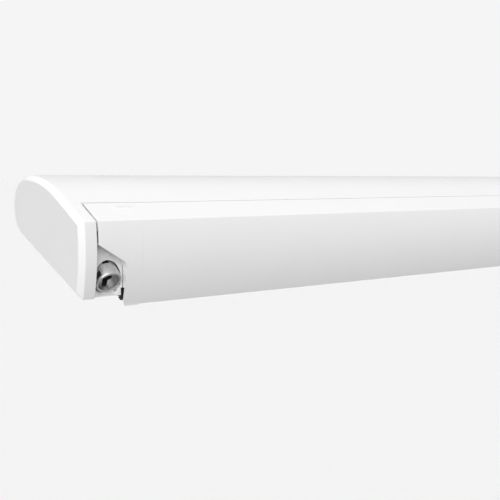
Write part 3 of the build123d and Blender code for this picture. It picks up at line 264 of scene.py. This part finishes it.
# tones: dark, light and the size of a patch; gloss: low and high roughness and the size of a patch;
# grain: width, height and how hard it is pressed; drawn: how tones, gloss and grain are stretched
coats = {
    "casePaint": {  # white powder coat on drawn aluminium: faint orange peel
        "colour": (0.815, 0.815, 0.813), "roughness": 0.34, "specular": 0.4,
        "tones": ((0.81, 0.81, 0.808), (0.821, 0.821, 0.819), 0.05),
        "gloss": (0.3, 0.38, 0.02), "grain": (0.0016, 0.00001, 0.5)},
    "capPlastic": {  # white moulding, satin, with a fine spark-eroded grain
        "colour": grey(0.81), "roughness": 0.4, "specular": 0.4, "tones": (grey(0.805), grey(0.816), 0.03),
        "gloss": (0.36, 0.44, 0.01), "grain": (0.0006, 0.000008, 0.5), "cells": True},
    "panelPlastic": {  # the grey moulding round the crank eye
        "colour": grey(0.76), "roughness": 0.42, "tones": (grey(0.745), grey(0.775), 0.012),
        "gloss": (0.36, 0.48, 0.006), "grain": (0.0007, 0.00001, 0.5), "cells": True},
    "zincPlate": {  # plated sheet steel with a soft spangle
        "colour": (0.6, 0.61, 0.62), "roughness": 0.35, "metallic": 1.0,
        "tones": ((0.5, 0.51, 0.53), (0.7, 0.7, 0.69), 0.009), "detail": 1.0,
        "gloss": (0.26, 0.46, 0.006), "grain": (0.004, 0.00002, 0.4)},
    "castPaint": {  # die cast arm joints under a thin silver coat
        "colour": (0.66, 0.66, 0.67), "roughness": 0.42, "metallic": 0.55,
        "tones": ((0.61, 0.61, 0.62), (0.7, 0.7, 0.71), 0.015),
        "gloss": (0.36, 0.5, 0.004), "grain": (0.0011, 0.00004, 0.6)},
    "armPaint": {
        "colour": (0.78, 0.78, 0.775), "roughness": 0.36,
        "tones": ((0.76, 0.76, 0.755), (0.8, 0.8, 0.795), 0.04),
        "gloss": (0.32, 0.42, 0.02), "grain": (0.0014, 0.000012, 0.5),
        "drawn": ((0.2, 1, 1), (0.2, 1, 1), evenly)},
    "crankCasting": {  # satin zinc casting
        "colour": (0.72, 0.72, 0.715), "roughness": 0.34, "metallic": 0.8,
        "tones": ((0.7, 0.7, 0.695), (0.74, 0.74, 0.735), 0.006),
        "gloss": (0.31, 0.38, 0.003), "grain": (0.0014, 0.000003, 0.4)},
    "gearboxNylon": blackMoulding(0.03, 0.45, 0.0008),
    "hingeBlack": blackMoulding(0.018, 0.38, 0.0007),
    "footRubber": blackMoulding(0.022, 0.6, 0.0006),
    "turnedSteel": turnedMetal(0.62, 0.0004, (1, 1, 0.2)),
    "screwSteel": turnedMetal(0.66, 0.0003),
    "bracketAnodised": anodised((0.1, 0.1, 0.105), (0.15, 0.15, 0.157), 0.0012),
    "millAluminium": anodised((0.62, 0.63, 0.64), (0.74, 0.75, 0.76), 0.001),
    "legAnodised": anodised((0.66, 0.67, 0.68), (0.78, 0.79, 0.8), 0.0012),
}


def coat(name):
    want = coats[name]
    made = newMaterial(name, want["colour"], want["roughness"], want.get("metallic", 0.0))
    if "specular" in want:
        made.node_tree.nodes["Principled BSDF"].inputs["Specular IOR Level"].default_value = want["specular"]
    alongTones, alongGloss, alongGrain = want.get("drawn", (evenly,) * 3)
    mottle(made, *want["tones"], alongTones, want.get("detail", noise["toneDetail"]))
    varyRoughness(made, *want["gloss"], alongGloss)
    grain(made, *want["grain"], alongGrain, want.get("cells", False))
    return made


# The crank eye's mouth and the way in; its recess gets a duller painted shade, and its slot and windows a
# dark painted shade.
# Each painted shade starts so far in, reaches so far from the axis and has a tone.
eye = {"mouth": (-1.2708, -0.132804, 0.000787), "inward": (0, 0.757435, 0.65291),
       "stains": ((1.2 * mm, 12.2 * mm, 0.5), (7.3 * mm, 13.7 * mm, 0.19))}


def calculate(made, operation, first, second=0.0):
    node = addNode(made, "ShaderNodeMath", operation=operation)
    for socket, value in zip(node.inputs, (first, second)):
        if isinstance(value, float):
            socket.default_value = value
        else:
            wire(made, value, socket)
    return node.outputs[0]


def crankCasting():
    made = coat("crankCasting")
    shade = made.node_tree.nodes["Principled BSDF"].inputs["Base Color"]
    surfaceColour = shade.links[0].from_socket
    where = addNode(made, "ShaderNodeTexCoord")
    fromMouth = addNode(made, "ShaderNodeVectorMath", operation="SUBTRACT")
    fromMouth.inputs[1].default_value = eye["mouth"]
    wire(made, where.outputs["Object"], fromMouth.inputs[0])
    along = addNode(made, "ShaderNodeVectorMath", operation="DOT_PRODUCT")
    along.inputs[1].default_value = eye["inward"]
    wire(made, fromMouth.outputs["Vector"], along.inputs[0])
    across = addNode(made, "ShaderNodeVectorMath", operation="CROSS_PRODUCT")
    across.inputs[1].default_value = eye["inward"]
    wire(made, fromMouth.outputs["Vector"], across.inputs[0])
    radius = addNode(made, "ShaderNodeVectorMath", operation="LENGTH")
    wire(made, across.outputs["Vector"], radius.inputs[0])
    # painted shade: each mask darkens the casting's colour beyond a depth along the eye's axis and near the
    # axis
    for start, reach, tone in eye["stains"]:
        deep = calculate(made, "GREATER_THAN", along.outputs["Value"], start)
        inner = calculate(made, "LESS_THAN", radius.outputs["Value"], reach)
        shadeMix = addNode(made, "ShaderNodeMix", data_type="RGBA")
        shadeMix.inputs[7].default_value = (*grey(tone), 1)
        wire(made, calculate(made, "MULTIPLY", deep, inner), shadeMix.inputs[0])
        wire(made, surfaceColour, shadeMix.inputs[6])
        surfaceColour = shadeMix.outputs[2]
    wire(made, surfaceColour, shade)
    return made


# The weave's yarn and depth, how far the dark yarns run, and its fuzz
cloth = {"yarn": 0.0009, "light": (0.36, 0.37, 0.385), "dark": (0.22, 0.225, 0.24), "depth": 0.00012,
         "press": 0.6, "runs": 40, "runDetail": 2.0, "leastLight": 0.2, "roughness": 0.62,
         "gloss": (0.55, 0.72, 0.05), "sheen": 0.25, "sheenRoughness": 0.5}


def canopyCloth():  # coated plain weave; its own UV map is in metres of flat cloth
    made = newMaterial("canopyCloth", cloth["light"], cloth["roughness"], Sheen_Weight=cloth["sheen"],
                       Sheen_Roughness=cloth["sheenRoughness"])
    where = surfacePlace(made, coords="UV")
    split = addNode(made, "ShaderNodeSeparateXYZ")
    wire(made, where, split.inputs["Vector"])
    waves = []
    for axis in ("X", "Y"):
        turns = calculate(made, "MULTIPLY", split.outputs[axis], math.pi / cloth["yarn"])
        waves.append(calculate(made, "SINE", turns))
    addBump(made, calculate(made, "MULTIPLY", *waves), cloth["depth"], cloth["press"])
    yarns = addNode(made, "ShaderNodeTexNoise", Scale=1.0, Detail=cloth["runDetail"])
    wire(made, surfacePlace(made, (1 / cloth["yarn"], cloth["runs"], 1), "UV"), yarns.inputs["Vector"])
    mix = addNode(made, "ShaderNodeMix", data_type="RGBA")
    mix.inputs[6].default_value = (*cloth["dark"], 1)
    mix.inputs[7].default_value = (*cloth["light"], 1)
    wire(made, spread(made, yarns.outputs["Fac"], cloth["leastLight"], 1), mix.inputs[0])
    wire(made, mix.outputs[2], made.node_tree.nodes["Principled BSDF"].inputs["Base Color"])
    varyRoughness(made, *cloth["gloss"], coords="UV")
    return made


coatOf = {
    "case_paint": "casePaint", "end_cap_plastic": "capPlastic", "panel_plastic": "panelPlastic",
    "gearbox_plastic": "gearboxNylon", "steel_plate": "zincPlate", "cast_arm": "castPaint",
    "arm_tube_paint": "armPaint", "bright_steel": "turnedSteel", "bracket_paint": "bracketAnodised",
    "screw_steel": "screwSteel", "roller_aluminium": "millAluminium", "hinge_black": "hingeBlack",
    "leg_aluminium": "legAnodised", "foot_black": "footRubber",
}
finishes = {slot: coat(name) for slot, name in coatOf.items()}
finishes["crank_metal"] = crankCasting()
finishes["canopy_fabric"] = canopyCloth()
slotOf = {row["node"]: row["material_slot"] for row in frame["record"]["subparts"]}
for node, thing in nodes.items():
    thing.data.materials.clear()
    thing.data.materials.append(finishes[slotOf[node]])
print("materials:", len(finishes))


# The case's section, as arcs and lines

def arcRound(centre, radius, start, end, steps):
    turns = [start + (end - start) * i / steps for i in range(steps + 1)]
    return [(centre[0] + radius * math.cos(t), centre[1] + radius * math.sin(t)) for t in turns]


def arcTangent(start, end, direction, steps):  # leaves start along direction and ends at end
    dx, dy = end[0] - start[0], end[1] - start[1]
    side = (-direction[1], direction[0])
    radius = (dx * dx + dy * dy) / (2 * (side[0] * dx + side[1] * dy))
    centre = (start[0] + side[0] * radius, start[1] + side[1] * radius)
    first = math.atan2(start[1] - centre[1], start[0] - centre[0])
    last = math.atan2(end[1] - centre[1], end[0] - centre[0])
    last += 2 * math.pi * round((first - last) / (2 * math.pi))
    points = arcRound(centre, abs(radius), first, last, steps)
    way = math.copysign(1, last - first)
    return points, (-way * math.sin(last), way * math.cos(last))


def circleOf(a, b, c):
    d = 2 * (a[0] * (b[1] - c[1]) + b[0] * (c[1] - a[1]) + c[0] * (a[1] - b[1]))
    a2, b2, c2 = (p[0] ** 2 + p[1] ** 2 for p in (a, b, c))
    x = (a2 * (b[1] - c[1]) + b2 * (c[1] - a[1]) + c2 * (a[1] - b[1])) / d
    y = (a2 * (c[0] - b[0]) + b2 * (a[0] - c[0]) + c2 * (b[0] - a[0])) / d
    return (x, y), math.hypot(a[0] - x, a[1] - y)


noseTop = (case["nose"][0], case["nose"][1] + case["noseRadius"])
backArc, crownWay = arcTangent(noseTop, case["crown"], (-1, 0), case["arcSteps"])
browArc, browWay = arcTangent(case["crown"], case["brow"], crownWay, case["arcSteps"])
frontCentre, frontRadius = circleOf(case["brow"], case["bulge"], case["sill"])
run = (case["nose"][0] - case["sill"][0], case["nose"][1] - case["sill"][1])
underAngle = math.atan2(run[1], run[0]) - math.asin(case["noseRadius"] / math.hypot(*run))
noseArc = arcRound(case["nose"], case["noseRadius"], underAngle - math.pi / 2, math.pi / 2,
                   2 * case["arcSteps"])


def frontDepth(height):  # depth of the front skin at a height
    return frontCentre[0] - math.sqrt(frontRadius ** 2 - (height - frontCentre[1]) ** 2)


def undersideHeight(depth):
    return case["sill"][1] + (depth - case["sill"][0]) * math.tan(underAngle)


def browHeight(depth):  # height of the top band's outer face at a depth
    for a, b in zip(browArc, browArc[1:]):
        if b[0] <= depth <= a[0]:
            return b[1] + (a[1] - b[1]) * (depth - b[0]) / (a[0] - b[0])
    return case["crown"][1]


def topFrom(depth):  # the top band from a depth forward to the brow
    return [(depth, browHeight(depth))] + [p for p in browArc if p[0] < depth]


def sectionChain(name, points, x, closed=False):
    curve = bpy.data.curves.new(name, "CURVE")
    curve.dimensions = "3D"
    line = curve.splines.new("POLY")
    line.points.add(len(points) - 1)
    for spot, (depth, height) in zip(line.points, points):
        spot.co = (*place(x, depth, height), 1)
    line.use_cyclic_u = closed
    chain = bpy.data.objects.new(name, curve)
    bpy.context.scene.collection.objects.link(chain)
    hold(chain)
    bpy.ops.object.convert(target="MESH")
    return bpy.context.object


wallEdges = {"drawn": 0.3 * mm, "box": 0.25 * mm}


def profileRun(name, points, xFrom, xTo, wall, closed=False, edge=wallEdges["drawn"], outward=False):
    piece = sectionChain(name, points, xFrom, closed)
    editAll(piece)
    bpy.ops.mesh.extrude_region_move(TRANSFORM_OT_translate={"value": (xTo - xFrom, 0, 0)})
    bpy.ops.mesh.select_all(action="SELECT")
    bpy.ops.mesh.normals_make_consistent(inside=False)
    backToObject()
    addModifier(piece, "SOLIDIFY", thickness=wall, offset=1 if outward else -1, use_even_offset=True)
    return roundEdges(piece, edge) if edge else piece


def wallBox(name, xFrom, xTo, depths, heights):
    low, high = place(xFrom, depths[0], heights[0]), place(xTo, depths[1], heights[1])
    deselect()
    bpy.ops.mesh.primitive_cube_add(size=1, location=(low + high) / 2, scale=high - low)
    piece = settle(bpy.context.object)
    piece.name = name
    return roundEdges(piece, wallEdges["box"])


# Housing: one long drawn profile, open at the front

housing = {"bossAngles": (50, -25), "bossInset": 7.4 * mm, "bossRadius": 5.2 * mm, "bossBore": 2.1 * mm,
           "bossSteps": 24, "floorBoss": 0.103}


def housingShell():
    start, end = case["capLength"], case["length"] - case["capLength"]
    outline = topFrom(case["mouthTop"])[:1] + [p for p in reversed(browArc) if p[0] > case["mouthTop"]]
    outline += list(reversed(backArc))[1:] + list(reversed(noseArc))[1:]
    outline.append((case["mouthFloor"], undersideHeight(case["mouthFloor"])))
    parts = [profileRun("housingSkin", outline, start, end, case["wall"])]
    spots = [(case["nose"][0] + (case["noseRadius"] - housing["bossInset"]) * math.cos(math.radians(a)),
              case["nose"][1] + (case["noseRadius"] - housing["bossInset"]) * math.sin(math.radians(a)))
             for a in housing["bossAngles"]]
    spots.append((housing["floorBoss"],
                  undersideHeight(housing["floorBoss"]) + housing["bossInset"] / math.cos(underAngle)))
    wall = housing["bossRadius"] - housing["bossBore"]
    steps = housing["bossSteps"]
    for spot in spots:  # screw channels
        ring = arcRound(spot, housing["bossBore"], 0, 2 * math.pi * (steps - 1) / steps, steps - 1)
        parts.append(profileRun("housingBoss", ring, start, end, wall, closed=True, edge=0, outward=True))
    piece = joinPieces(parts)
    finishPiece(piece, "housingProfile", finishes["case_paint"], "case", ["housing_profile"])


housingShell()
print("housing done")

# Lead rail: front and top skins over a stiffening box, a pocket for the legs and the welt channel

rail = {"start": 0.0666, "drop": 0.091013, "wall": 2 * mm, "flange": 0.0305, "lip": 1.6 * mm, "skinSteps": 40,
        "boxBack": 0.016, "pocketRoof": 0.061513, "pocketBack": 0.036, "welt": (0.026, 0.0075),
        "weltRadius": 2.8 * mm, "channelGap": 0.35 * mm, "channelWall": 1.5 * mm, "channelMouth": 2.4 * mm,
        "channelSteps": 32, "armOverlap": 0.3 * mm, "stemFoot": 1 * mm}


def railShell():
    start, end = rail["start"], case["length"] - rail["start"]
    wall = rail["wall"]
    steps = rail["skinSteps"]
    footHeights = [case["brow"][1] - rail["drop"] * i / steps for i in range(1, steps + 1)]
    skin = topFrom(rail["flange"]) + [(frontDepth(h), h) for h in footHeights]
    skin.append((frontDepth(-rail["drop"]) + rail["lip"], -rail["drop"]))
    parts = [profileRun("railSkin", skin, start, end, wall)]
    low = -rail["pocketRoof"]
    weltDepth, weltHeight = rail["welt"]
    bore = rail["weltRadius"] + rail["channelGap"]
    outer = bore + rail["channelWall"]
    boxRoof = weltHeight - rail["weltRadius"]
    boxes = {
        "railBoxWall": ((rail["boxBack"] - wall, rail["boxBack"]), (low, boxRoof)),
        "railPocketRoof": ((frontDepth(low - wall) + wall / 2, rail["pocketBack"]), (low - wall, low)),
        "railPocketBack": ((rail["pocketBack"] - wall, rail["pocketBack"]), (-rail["drop"], low - wall)),
        "railPocketLip": ((rail["pocketBack"] - wall - rail["lip"], rail["pocketBack"] - wall),
                          (-rail["drop"], -rail["drop"] + wall)),
        "railChannelArm": ((rail["boxBack"] - wall, weltDepth - outer + rail["armOverlap"]),
                           (boxRoof, boxRoof + wall)),
        "railChannelStem": ((weltDepth - outer, weltDepth - outer + rail["channelWall"]),
                            (weltHeight + rail["stemFoot"], browHeight(weltDepth - outer) - wall)),
    }
    for name, (depths, heights) in boxes.items():
        parts.append(wallBox(name, start, end, depths, heights))
    sheetLow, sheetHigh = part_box("canopy_sheet")
    rise = math.atan2(sheetHigh.z - sheetLow.z, sheetHigh.y - sheetLow.y)
    half = math.asin(rail["channelMouth"] / 2 / bore)
    ring = arcRound(rail["welt"], bore, rise + half, rise + 2 * math.pi - half, rail["channelSteps"])
    parts.append(profileRun("railChannel", ring, start, end, rail["channelWall"], outward=True))
    piece = joinPieces(parts)
    finishPiece(piece, "leadRailProfile", finishes["case_paint"], "lead_rail",
                ["lead_rail_profile"])


railShell()
print("lead rail done")

# Rigid pieces that keep their CAD shape and get rounded edges: how wide, and in how many steps

edges = {
    "end_cap": (0.6 * mm, 2), "rail_cap": (0.5 * mm, 2), "crank_panel": (0.6 * mm, 2),
    "gear_mount_plate": (0.4 * mm, 1), "right_bearing_plate": (0.4 * mm, 1), "gearbox_case": (0.8 * mm, 2),
    "roller_bushes": (0.3 * mm, 1), "shoulder_bracket": (1.2 * mm, 2), "shoulder_knuckle": (1 * mm, 2),
    "elbow_fork": (1 * mm, 2), "elbow_knuckle": (1 * mm, 2), "wrist_knuckle": (1 * mm, 2),
    "wrist_bracket": (1.2 * mm, 2), "inner_arm_tube": (0.3 * mm, 1), "outer_arm_tube": (0.3 * mm, 1),
    "elbow_pin": (0.8 * mm, 2), "shoulder_pins": (0.8 * mm, 2), "wrist_pins": (0.8 * mm, 2),
    "leg_hinge_pins": (0.4 * mm, 2), "roof_bracket": (0.8 * mm, 2), "leg_hinge": (0.6 * mm, 2),
    "leg_outer_tube": (0.8 * mm, 2), "leg_inner_tube": (0.5 * mm, 2), "leg_foot": (0.8 * mm, 2),
    "leg_clamp_lever": (1 * mm, 2), "bracket_screws": (0.7 * mm, 2), "end_plate_screws": (0.5 * mm, 2),
    "roller_tube": (0.3 * mm, 1), "roller_plug": (0.5 * mm, 1), "worm_wheel": (0.25 * mm, 1),
    "worm_shaft": (0.3 * mm, 1), "crank_eye": (0.7 * mm, 3),
}


def plainName(node):  # the piece's name with its side left off
    for side in ("left_", "middle_", "right_"):
        if node.startswith(side) and node[len(side):] in edges:
            return node[len(side):]
    return node


def camel(node):
    first, *rest = node.split("_")
    return first + "".join(word.title() for word in rest)


for node in sorted(nodes):
    if plainName(node) in edges:
        width, steps = edges[plainName(node)]
        piece = roundEdges(copyNode(node), width, steps)
        finishPiece(piece, camel(node), finishes[slotOf[node]], bodyOf[node], [node])
print("rounded pieces done")

# Tension springs and cables inside the arms

coil = {"wire": 1.25 * mm, "pitch": 3.4 * mm, "steps": 18, "sides": 3}
cable = {"strands": 6, "strand": 0.48 * mm, "lay": 22 * mm, "steps": 14, "sides": 2,
         "coreShare": 0.55}


def wireRun(name, points, radius, sides):
    curve = bpy.data.curves.new(name, "CURVE")
    curve.dimensions = "3D"
    curve.bevel_depth = radius
    curve.bevel_resolution = sides
    curve.use_fill_caps = True
    line = curve.splines.new("POLY")
    line.points.add(len(points) - 1)
    for spot, point in zip(line.points, points):
        spot.co = (*point, 1)
    piece = bpy.data.objects.new(name, curve)
    bpy.context.scene.collection.objects.link(piece)
    hold(piece)
    bpy.ops.object.convert(target="MESH")
    return bpy.context.object


def helix(low, high, radius, lay, steps, start=0):  # wire wound along X round a box's middle line
    y, z = (low.y + high.y) / 2, (low.z + high.z) / 2
    count = int((high.x - low.x) / lay * steps)
    points = []
    for i in range(count + 1):
        turn = start + 2 * math.pi * i / steps
        x = low.x + (high.x - low.x) * i / count
        points.append((x, y + radius * math.cos(turn), z + radius * math.sin(turn)))
    return points


for side in ("left", "right"):
    node = side + "_arm_spring"
    low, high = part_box(node)
    inset = Vector((coil["wire"], 0, 0))
    reach = (high.z - low.z) / 2 - coil["wire"]
    turns = helix(low + inset, high - inset, reach, coil["pitch"], coil["steps"])
    spring = wireRun("spring", turns, coil["wire"], coil["sides"])
    finishPiece(spring, camel(node), finishes[slotOf[node]], bodyOf[node], [node])
    node = side + "_tension_cable"
    low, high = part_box(node)
    reach = (high.z - low.z) / 2 - cable["strand"]
    middle = (low + high) / 2
    ends = [(low.x, middle.y, middle.z), (high.x, middle.y, middle.z)]
    parts = [wireRun("core", ends, reach * cable["coreShare"], cable["sides"])]
    for i in range(cable["strands"]):
        start = 2 * math.pi * i / cable["strands"]
        turns = helix(low, high, reach, cable["lay"], cable["steps"], start)
        parts.append(wireRun("strand", turns, cable["strand"], cable["sides"]))
    finishPiece(joinPieces(parts), camel(node), finishes[slotOf[node]], bodyOf[node], [node])
print("springs and cables done")

# Wound and stretched cloth

roll = {"core": 25.1 * mm, "outer": 31.2 * mm, "cloth": 0.56 * mm, "pitch": 0.6 * mm, "stepsPerTurn": 40,
        "crease": 30}
sheetLow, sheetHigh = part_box("canopy_sheet")
rollLow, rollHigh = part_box("fabric_roll")
rollCentre = (rollLow + rollHigh) / 2


def giveUv(piece, where):  # where gives the flat cloth's place of a vertex, in metres
    layer = piece.data.uv_layers.new(name="cloth")
    for loop in piece.data.loops:
        layer.data[loop.index].uv = where(piece.data.vertices[loop.vertex_index].co)


def fabricRoll():
    turns = (roll["outer"] - roll["core"]) / roll["pitch"]
    leave = math.atan2(sheetHigh.z - rollCentre.z, sheetHigh.y - rollCentre.y)
    count = int(turns * roll["stepsPerTurn"])
    points = []
    for i in range(count + 1):
        radius = roll["outer"] - roll["pitch"] * i / roll["stepsPerTurn"]
        turn = leave - 2 * math.pi * i / roll["stepsPerTurn"]
        y, z = rollCentre.y + radius * math.cos(turn), rollCentre.z + radius * math.sin(turn)
        points.append((y - case["frontY"], z - case["topZ"]))
    xFrom, xTo = rollLow.x - case["leftEnd"], rollHigh.x - case["leftEnd"]
    piece = sectionChain("roll", points, xFrom)
    editAll(piece)
    bpy.ops.mesh.extrude_region_move(TRANSFORM_OT_translate={"value": (xTo - xFrom, 0, 0)})
    backToObject()

    def flat(spot):
        dy, dz = spot.y - rollCentre.y, spot.z - rollCentre.z
        radius = math.hypot(dy, dz)
        wound = (radius ** 2 - roll["core"] ** 2) * math.pi / roll["pitch"]
        return spot.x, wound

    giveUv(piece, flat)
    addModifier(piece, "SOLIDIFY", thickness=roll["cloth"], offset=-1)
    hold(piece)
    bpy.ops.object.shade_smooth_by_angle(angle=math.radians(roll["crease"]))
    finishPiece(piece, "woundCanopy", finishes["canopy_fabric"], "roller", ["fabric_roll"])


fabricRoll()
print("fabric roll done")

# travel is how far the lead rail moves out, wave a faint ripple across the cloth, crease an angle in degrees
canopy = {"across": 160, "along": 26, "cloth": 0.55 * mm, "travel": 1.974369, "wave": 0.25 * mm,
          "waveLength": 0.31, "crease": 40}


def canopySheet():
    near, far = Vector((0, sheetLow.y, sheetLow.z)), Vector((0, sheetHigh.y, sheetHigh.z))
    way = far - near
    length, width = way.length, sheetHigh.x - sheetLow.x
    deselect()
    bpy.ops.mesh.primitive_grid_add(x_subdivisions=canopy["across"], y_subdivisions=canopy["along"], size=1)
    piece = bpy.context.object
    for vertex in piece.data.vertices:
        share = vertex.co.y + 0.5
        x = vertex.co.x * width
        spot = near + way * share
        lift = canopy["wave"] * math.sin(2 * math.pi * x / canopy["waveLength"]) * math.sin(math.pi * share)
        vertex.co = (x, spot.y, spot.z + lift)

    def flat(spot):
        share = min(1, max(0, (spot - near).dot(way) / way.length_squared))
        moved = 1 - share
        return spot.x, length * share - canopy["travel"] * moved * moved * (3 - 2 * moved)

    giveUv(piece, flat)
    addModifier(piece, "SOLIDIFY", thickness=canopy["cloth"], offset=0)
    hold(piece)
    bpy.ops.object.shade_smooth_by_angle(angle=math.radians(canopy["crease"]))
    piece.name = "canopySheet"
    piece.data.name = "canopySheet"
    piece.data.materials.clear()
    piece.data.materials.append(finishes["canopy_fabric"])
    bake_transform(piece)
    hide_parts("canopy_sheet")


canopySheet()

welt = {"sides": 24, "edge": 0.8 * mm, "edgeSteps": 3}


def weltCord():
    low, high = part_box("welt_cord")
    middle = (low + high) / 2
    radius = (high.z - low.z) / 2
    deselect()
    bpy.ops.mesh.primitive_cylinder_add(vertices=welt["sides"], radius=radius, depth=high.x - low.x,
                                        location=middle, rotation=(0, math.pi / 2, 0))
    piece = settle(bpy.context.object)
    giveUv(piece, lambda spot: (spot.x, math.atan2(spot.z - middle.z, spot.y - middle.y) * radius))
    roundEdges(piece, welt["edge"], welt["edgeSteps"])
    finishPiece(piece, "weltCord", finishes["canopy_fabric"], "lead_rail", ["welt_cord"])


weltCord()
print("cloth done")

# Floor, light and camera

# sky and ground are how strongly they light; one fades into the other between two heights of the view
stage = {"floorHeight": -2.68, "floorSize": 2400, "floorTone": 0.849, "floorMottle": 0.002, "floorPatch": 2.5,
         "backdrop": 0.913, "sky": 0.55, "ground": 0.3, "fadeFrom": -0.6, "fadeTo": 0.7}


def stageSetting():
    deselect()
    bpy.ops.mesh.primitive_plane_add(size=stage["floorSize"], location=(0, 0, stage["floorHeight"]))
    floor = bpy.context.object
    floor.name = "floor"
    tone = stage["floorTone"]
    pale = newMaterial("paleFloor", grey(tone), 1.0, Specular_IOR_Level=0.0)
    mottle(pale, grey(tone - stage["floorMottle"]), grey(tone + stage["floorMottle"]), stage["floorPatch"])
    floor.data.materials.append(pale)
    floor.visible_diffuse = False
    floor.visible_glossy = False
    world = bpy.data.worlds.new("studio")
    bpy.context.scene.world = world
    world.use_nodes = True
    tree = world.node_tree
    plain = tree.nodes["Background"]
    where = tree.nodes.new("ShaderNodeTexCoord")
    split = tree.nodes.new("ShaderNodeSeparateXYZ")
    ramp = tree.nodes.new("ShaderNodeMapRange")
    ramp.inputs["From Min"].default_value = stage["fadeFrom"]
    ramp.inputs["From Max"].default_value = stage["fadeTo"]
    ramp.inputs["To Min"].default_value = stage["ground"]
    ramp.inputs["To Max"].default_value = stage["sky"]
    tree.links.new(where.outputs["Generated"], split.inputs["Vector"])
    tree.links.new(split.outputs["Z"], ramp.inputs["Value"])
    seen = tree.nodes.new("ShaderNodeBackground")
    seen.inputs["Color"].default_value = (*grey(stage["backdrop"]), 1)
    rays = tree.nodes.new("ShaderNodeLightPath")
    mix = tree.nodes.new("ShaderNodeMixShader")
    tree.links.new(ramp.outputs["Result"], plain.inputs["Strength"])
    plain.inputs["Color"].default_value = (1, 1, 1, 1)
    tree.links.new(rays.outputs["Is Camera Ray"], mix.inputs[0])
    tree.links.new(plain.outputs["Background"], mix.inputs[1])
    tree.links.new(seen.outputs["Background"], mix.inputs[2])
    tree.links.new(mix.outputs["Shader"], tree.nodes["World Output"].inputs["Surface"])
    scene = bpy.context.scene
    scene.view_settings.view_transform = "Standard"
    scene.view_settings.look = "None"


lights = {  # the way towards each lamp, its strength and how wide it looks in degrees
    "broadKey": {"towards": (-0.59, -0.62, 0.517), "strength": 2.85, "angle": 70},
    "rearGlint": {"towards": (-0.355, 0.443, 0.821), "strength": 0.25, "angle": 9},
}


def studioLights():
    for name, wanted in lights.items():
        lamp = bpy.data.lights.new(name, "SUN")
        lamp.energy = wanted["strength"]
        lamp.angle = math.radians(wanted["angle"])
        thing = bpy.data.objects.new(name, lamp)
        bpy.context.scene.collection.objects.link(thing)
        thing.rotation_euler = Vector(wanted["towards"]).to_track_quat("Z", "Y").to_euler()


camera = {"at": (-1.697, -0.919, 0.109), "yaw": 38, "dip": 4.77, "lens": 60.8, "sensor": 36, "near": 0.01,
          "far": 4000}


def photoCamera():
    data = bpy.data.cameras.new("photoCamera")
    data.lens, data.sensor_width = camera["lens"], camera["sensor"]
    data.clip_start, data.clip_end = camera["near"], camera["far"]
    thing = bpy.data.objects.new("photoCamera", data)
    bpy.context.scene.collection.objects.link(thing)
    thing.location = camera["at"]
    yaw, dip = math.radians(camera["yaw"]), math.radians(camera["dip"])
    aim = Vector((math.sin(yaw) * math.cos(dip), math.cos(yaw) * math.cos(dip), -math.sin(dip)))
    thing.rotation_euler = aim.to_track_quat("-Z", "Y").to_euler()
    bpy.context.scene.camera = thing


stageSetting()
studioLights()
photoCamera()
print("stage, lights and camera done")
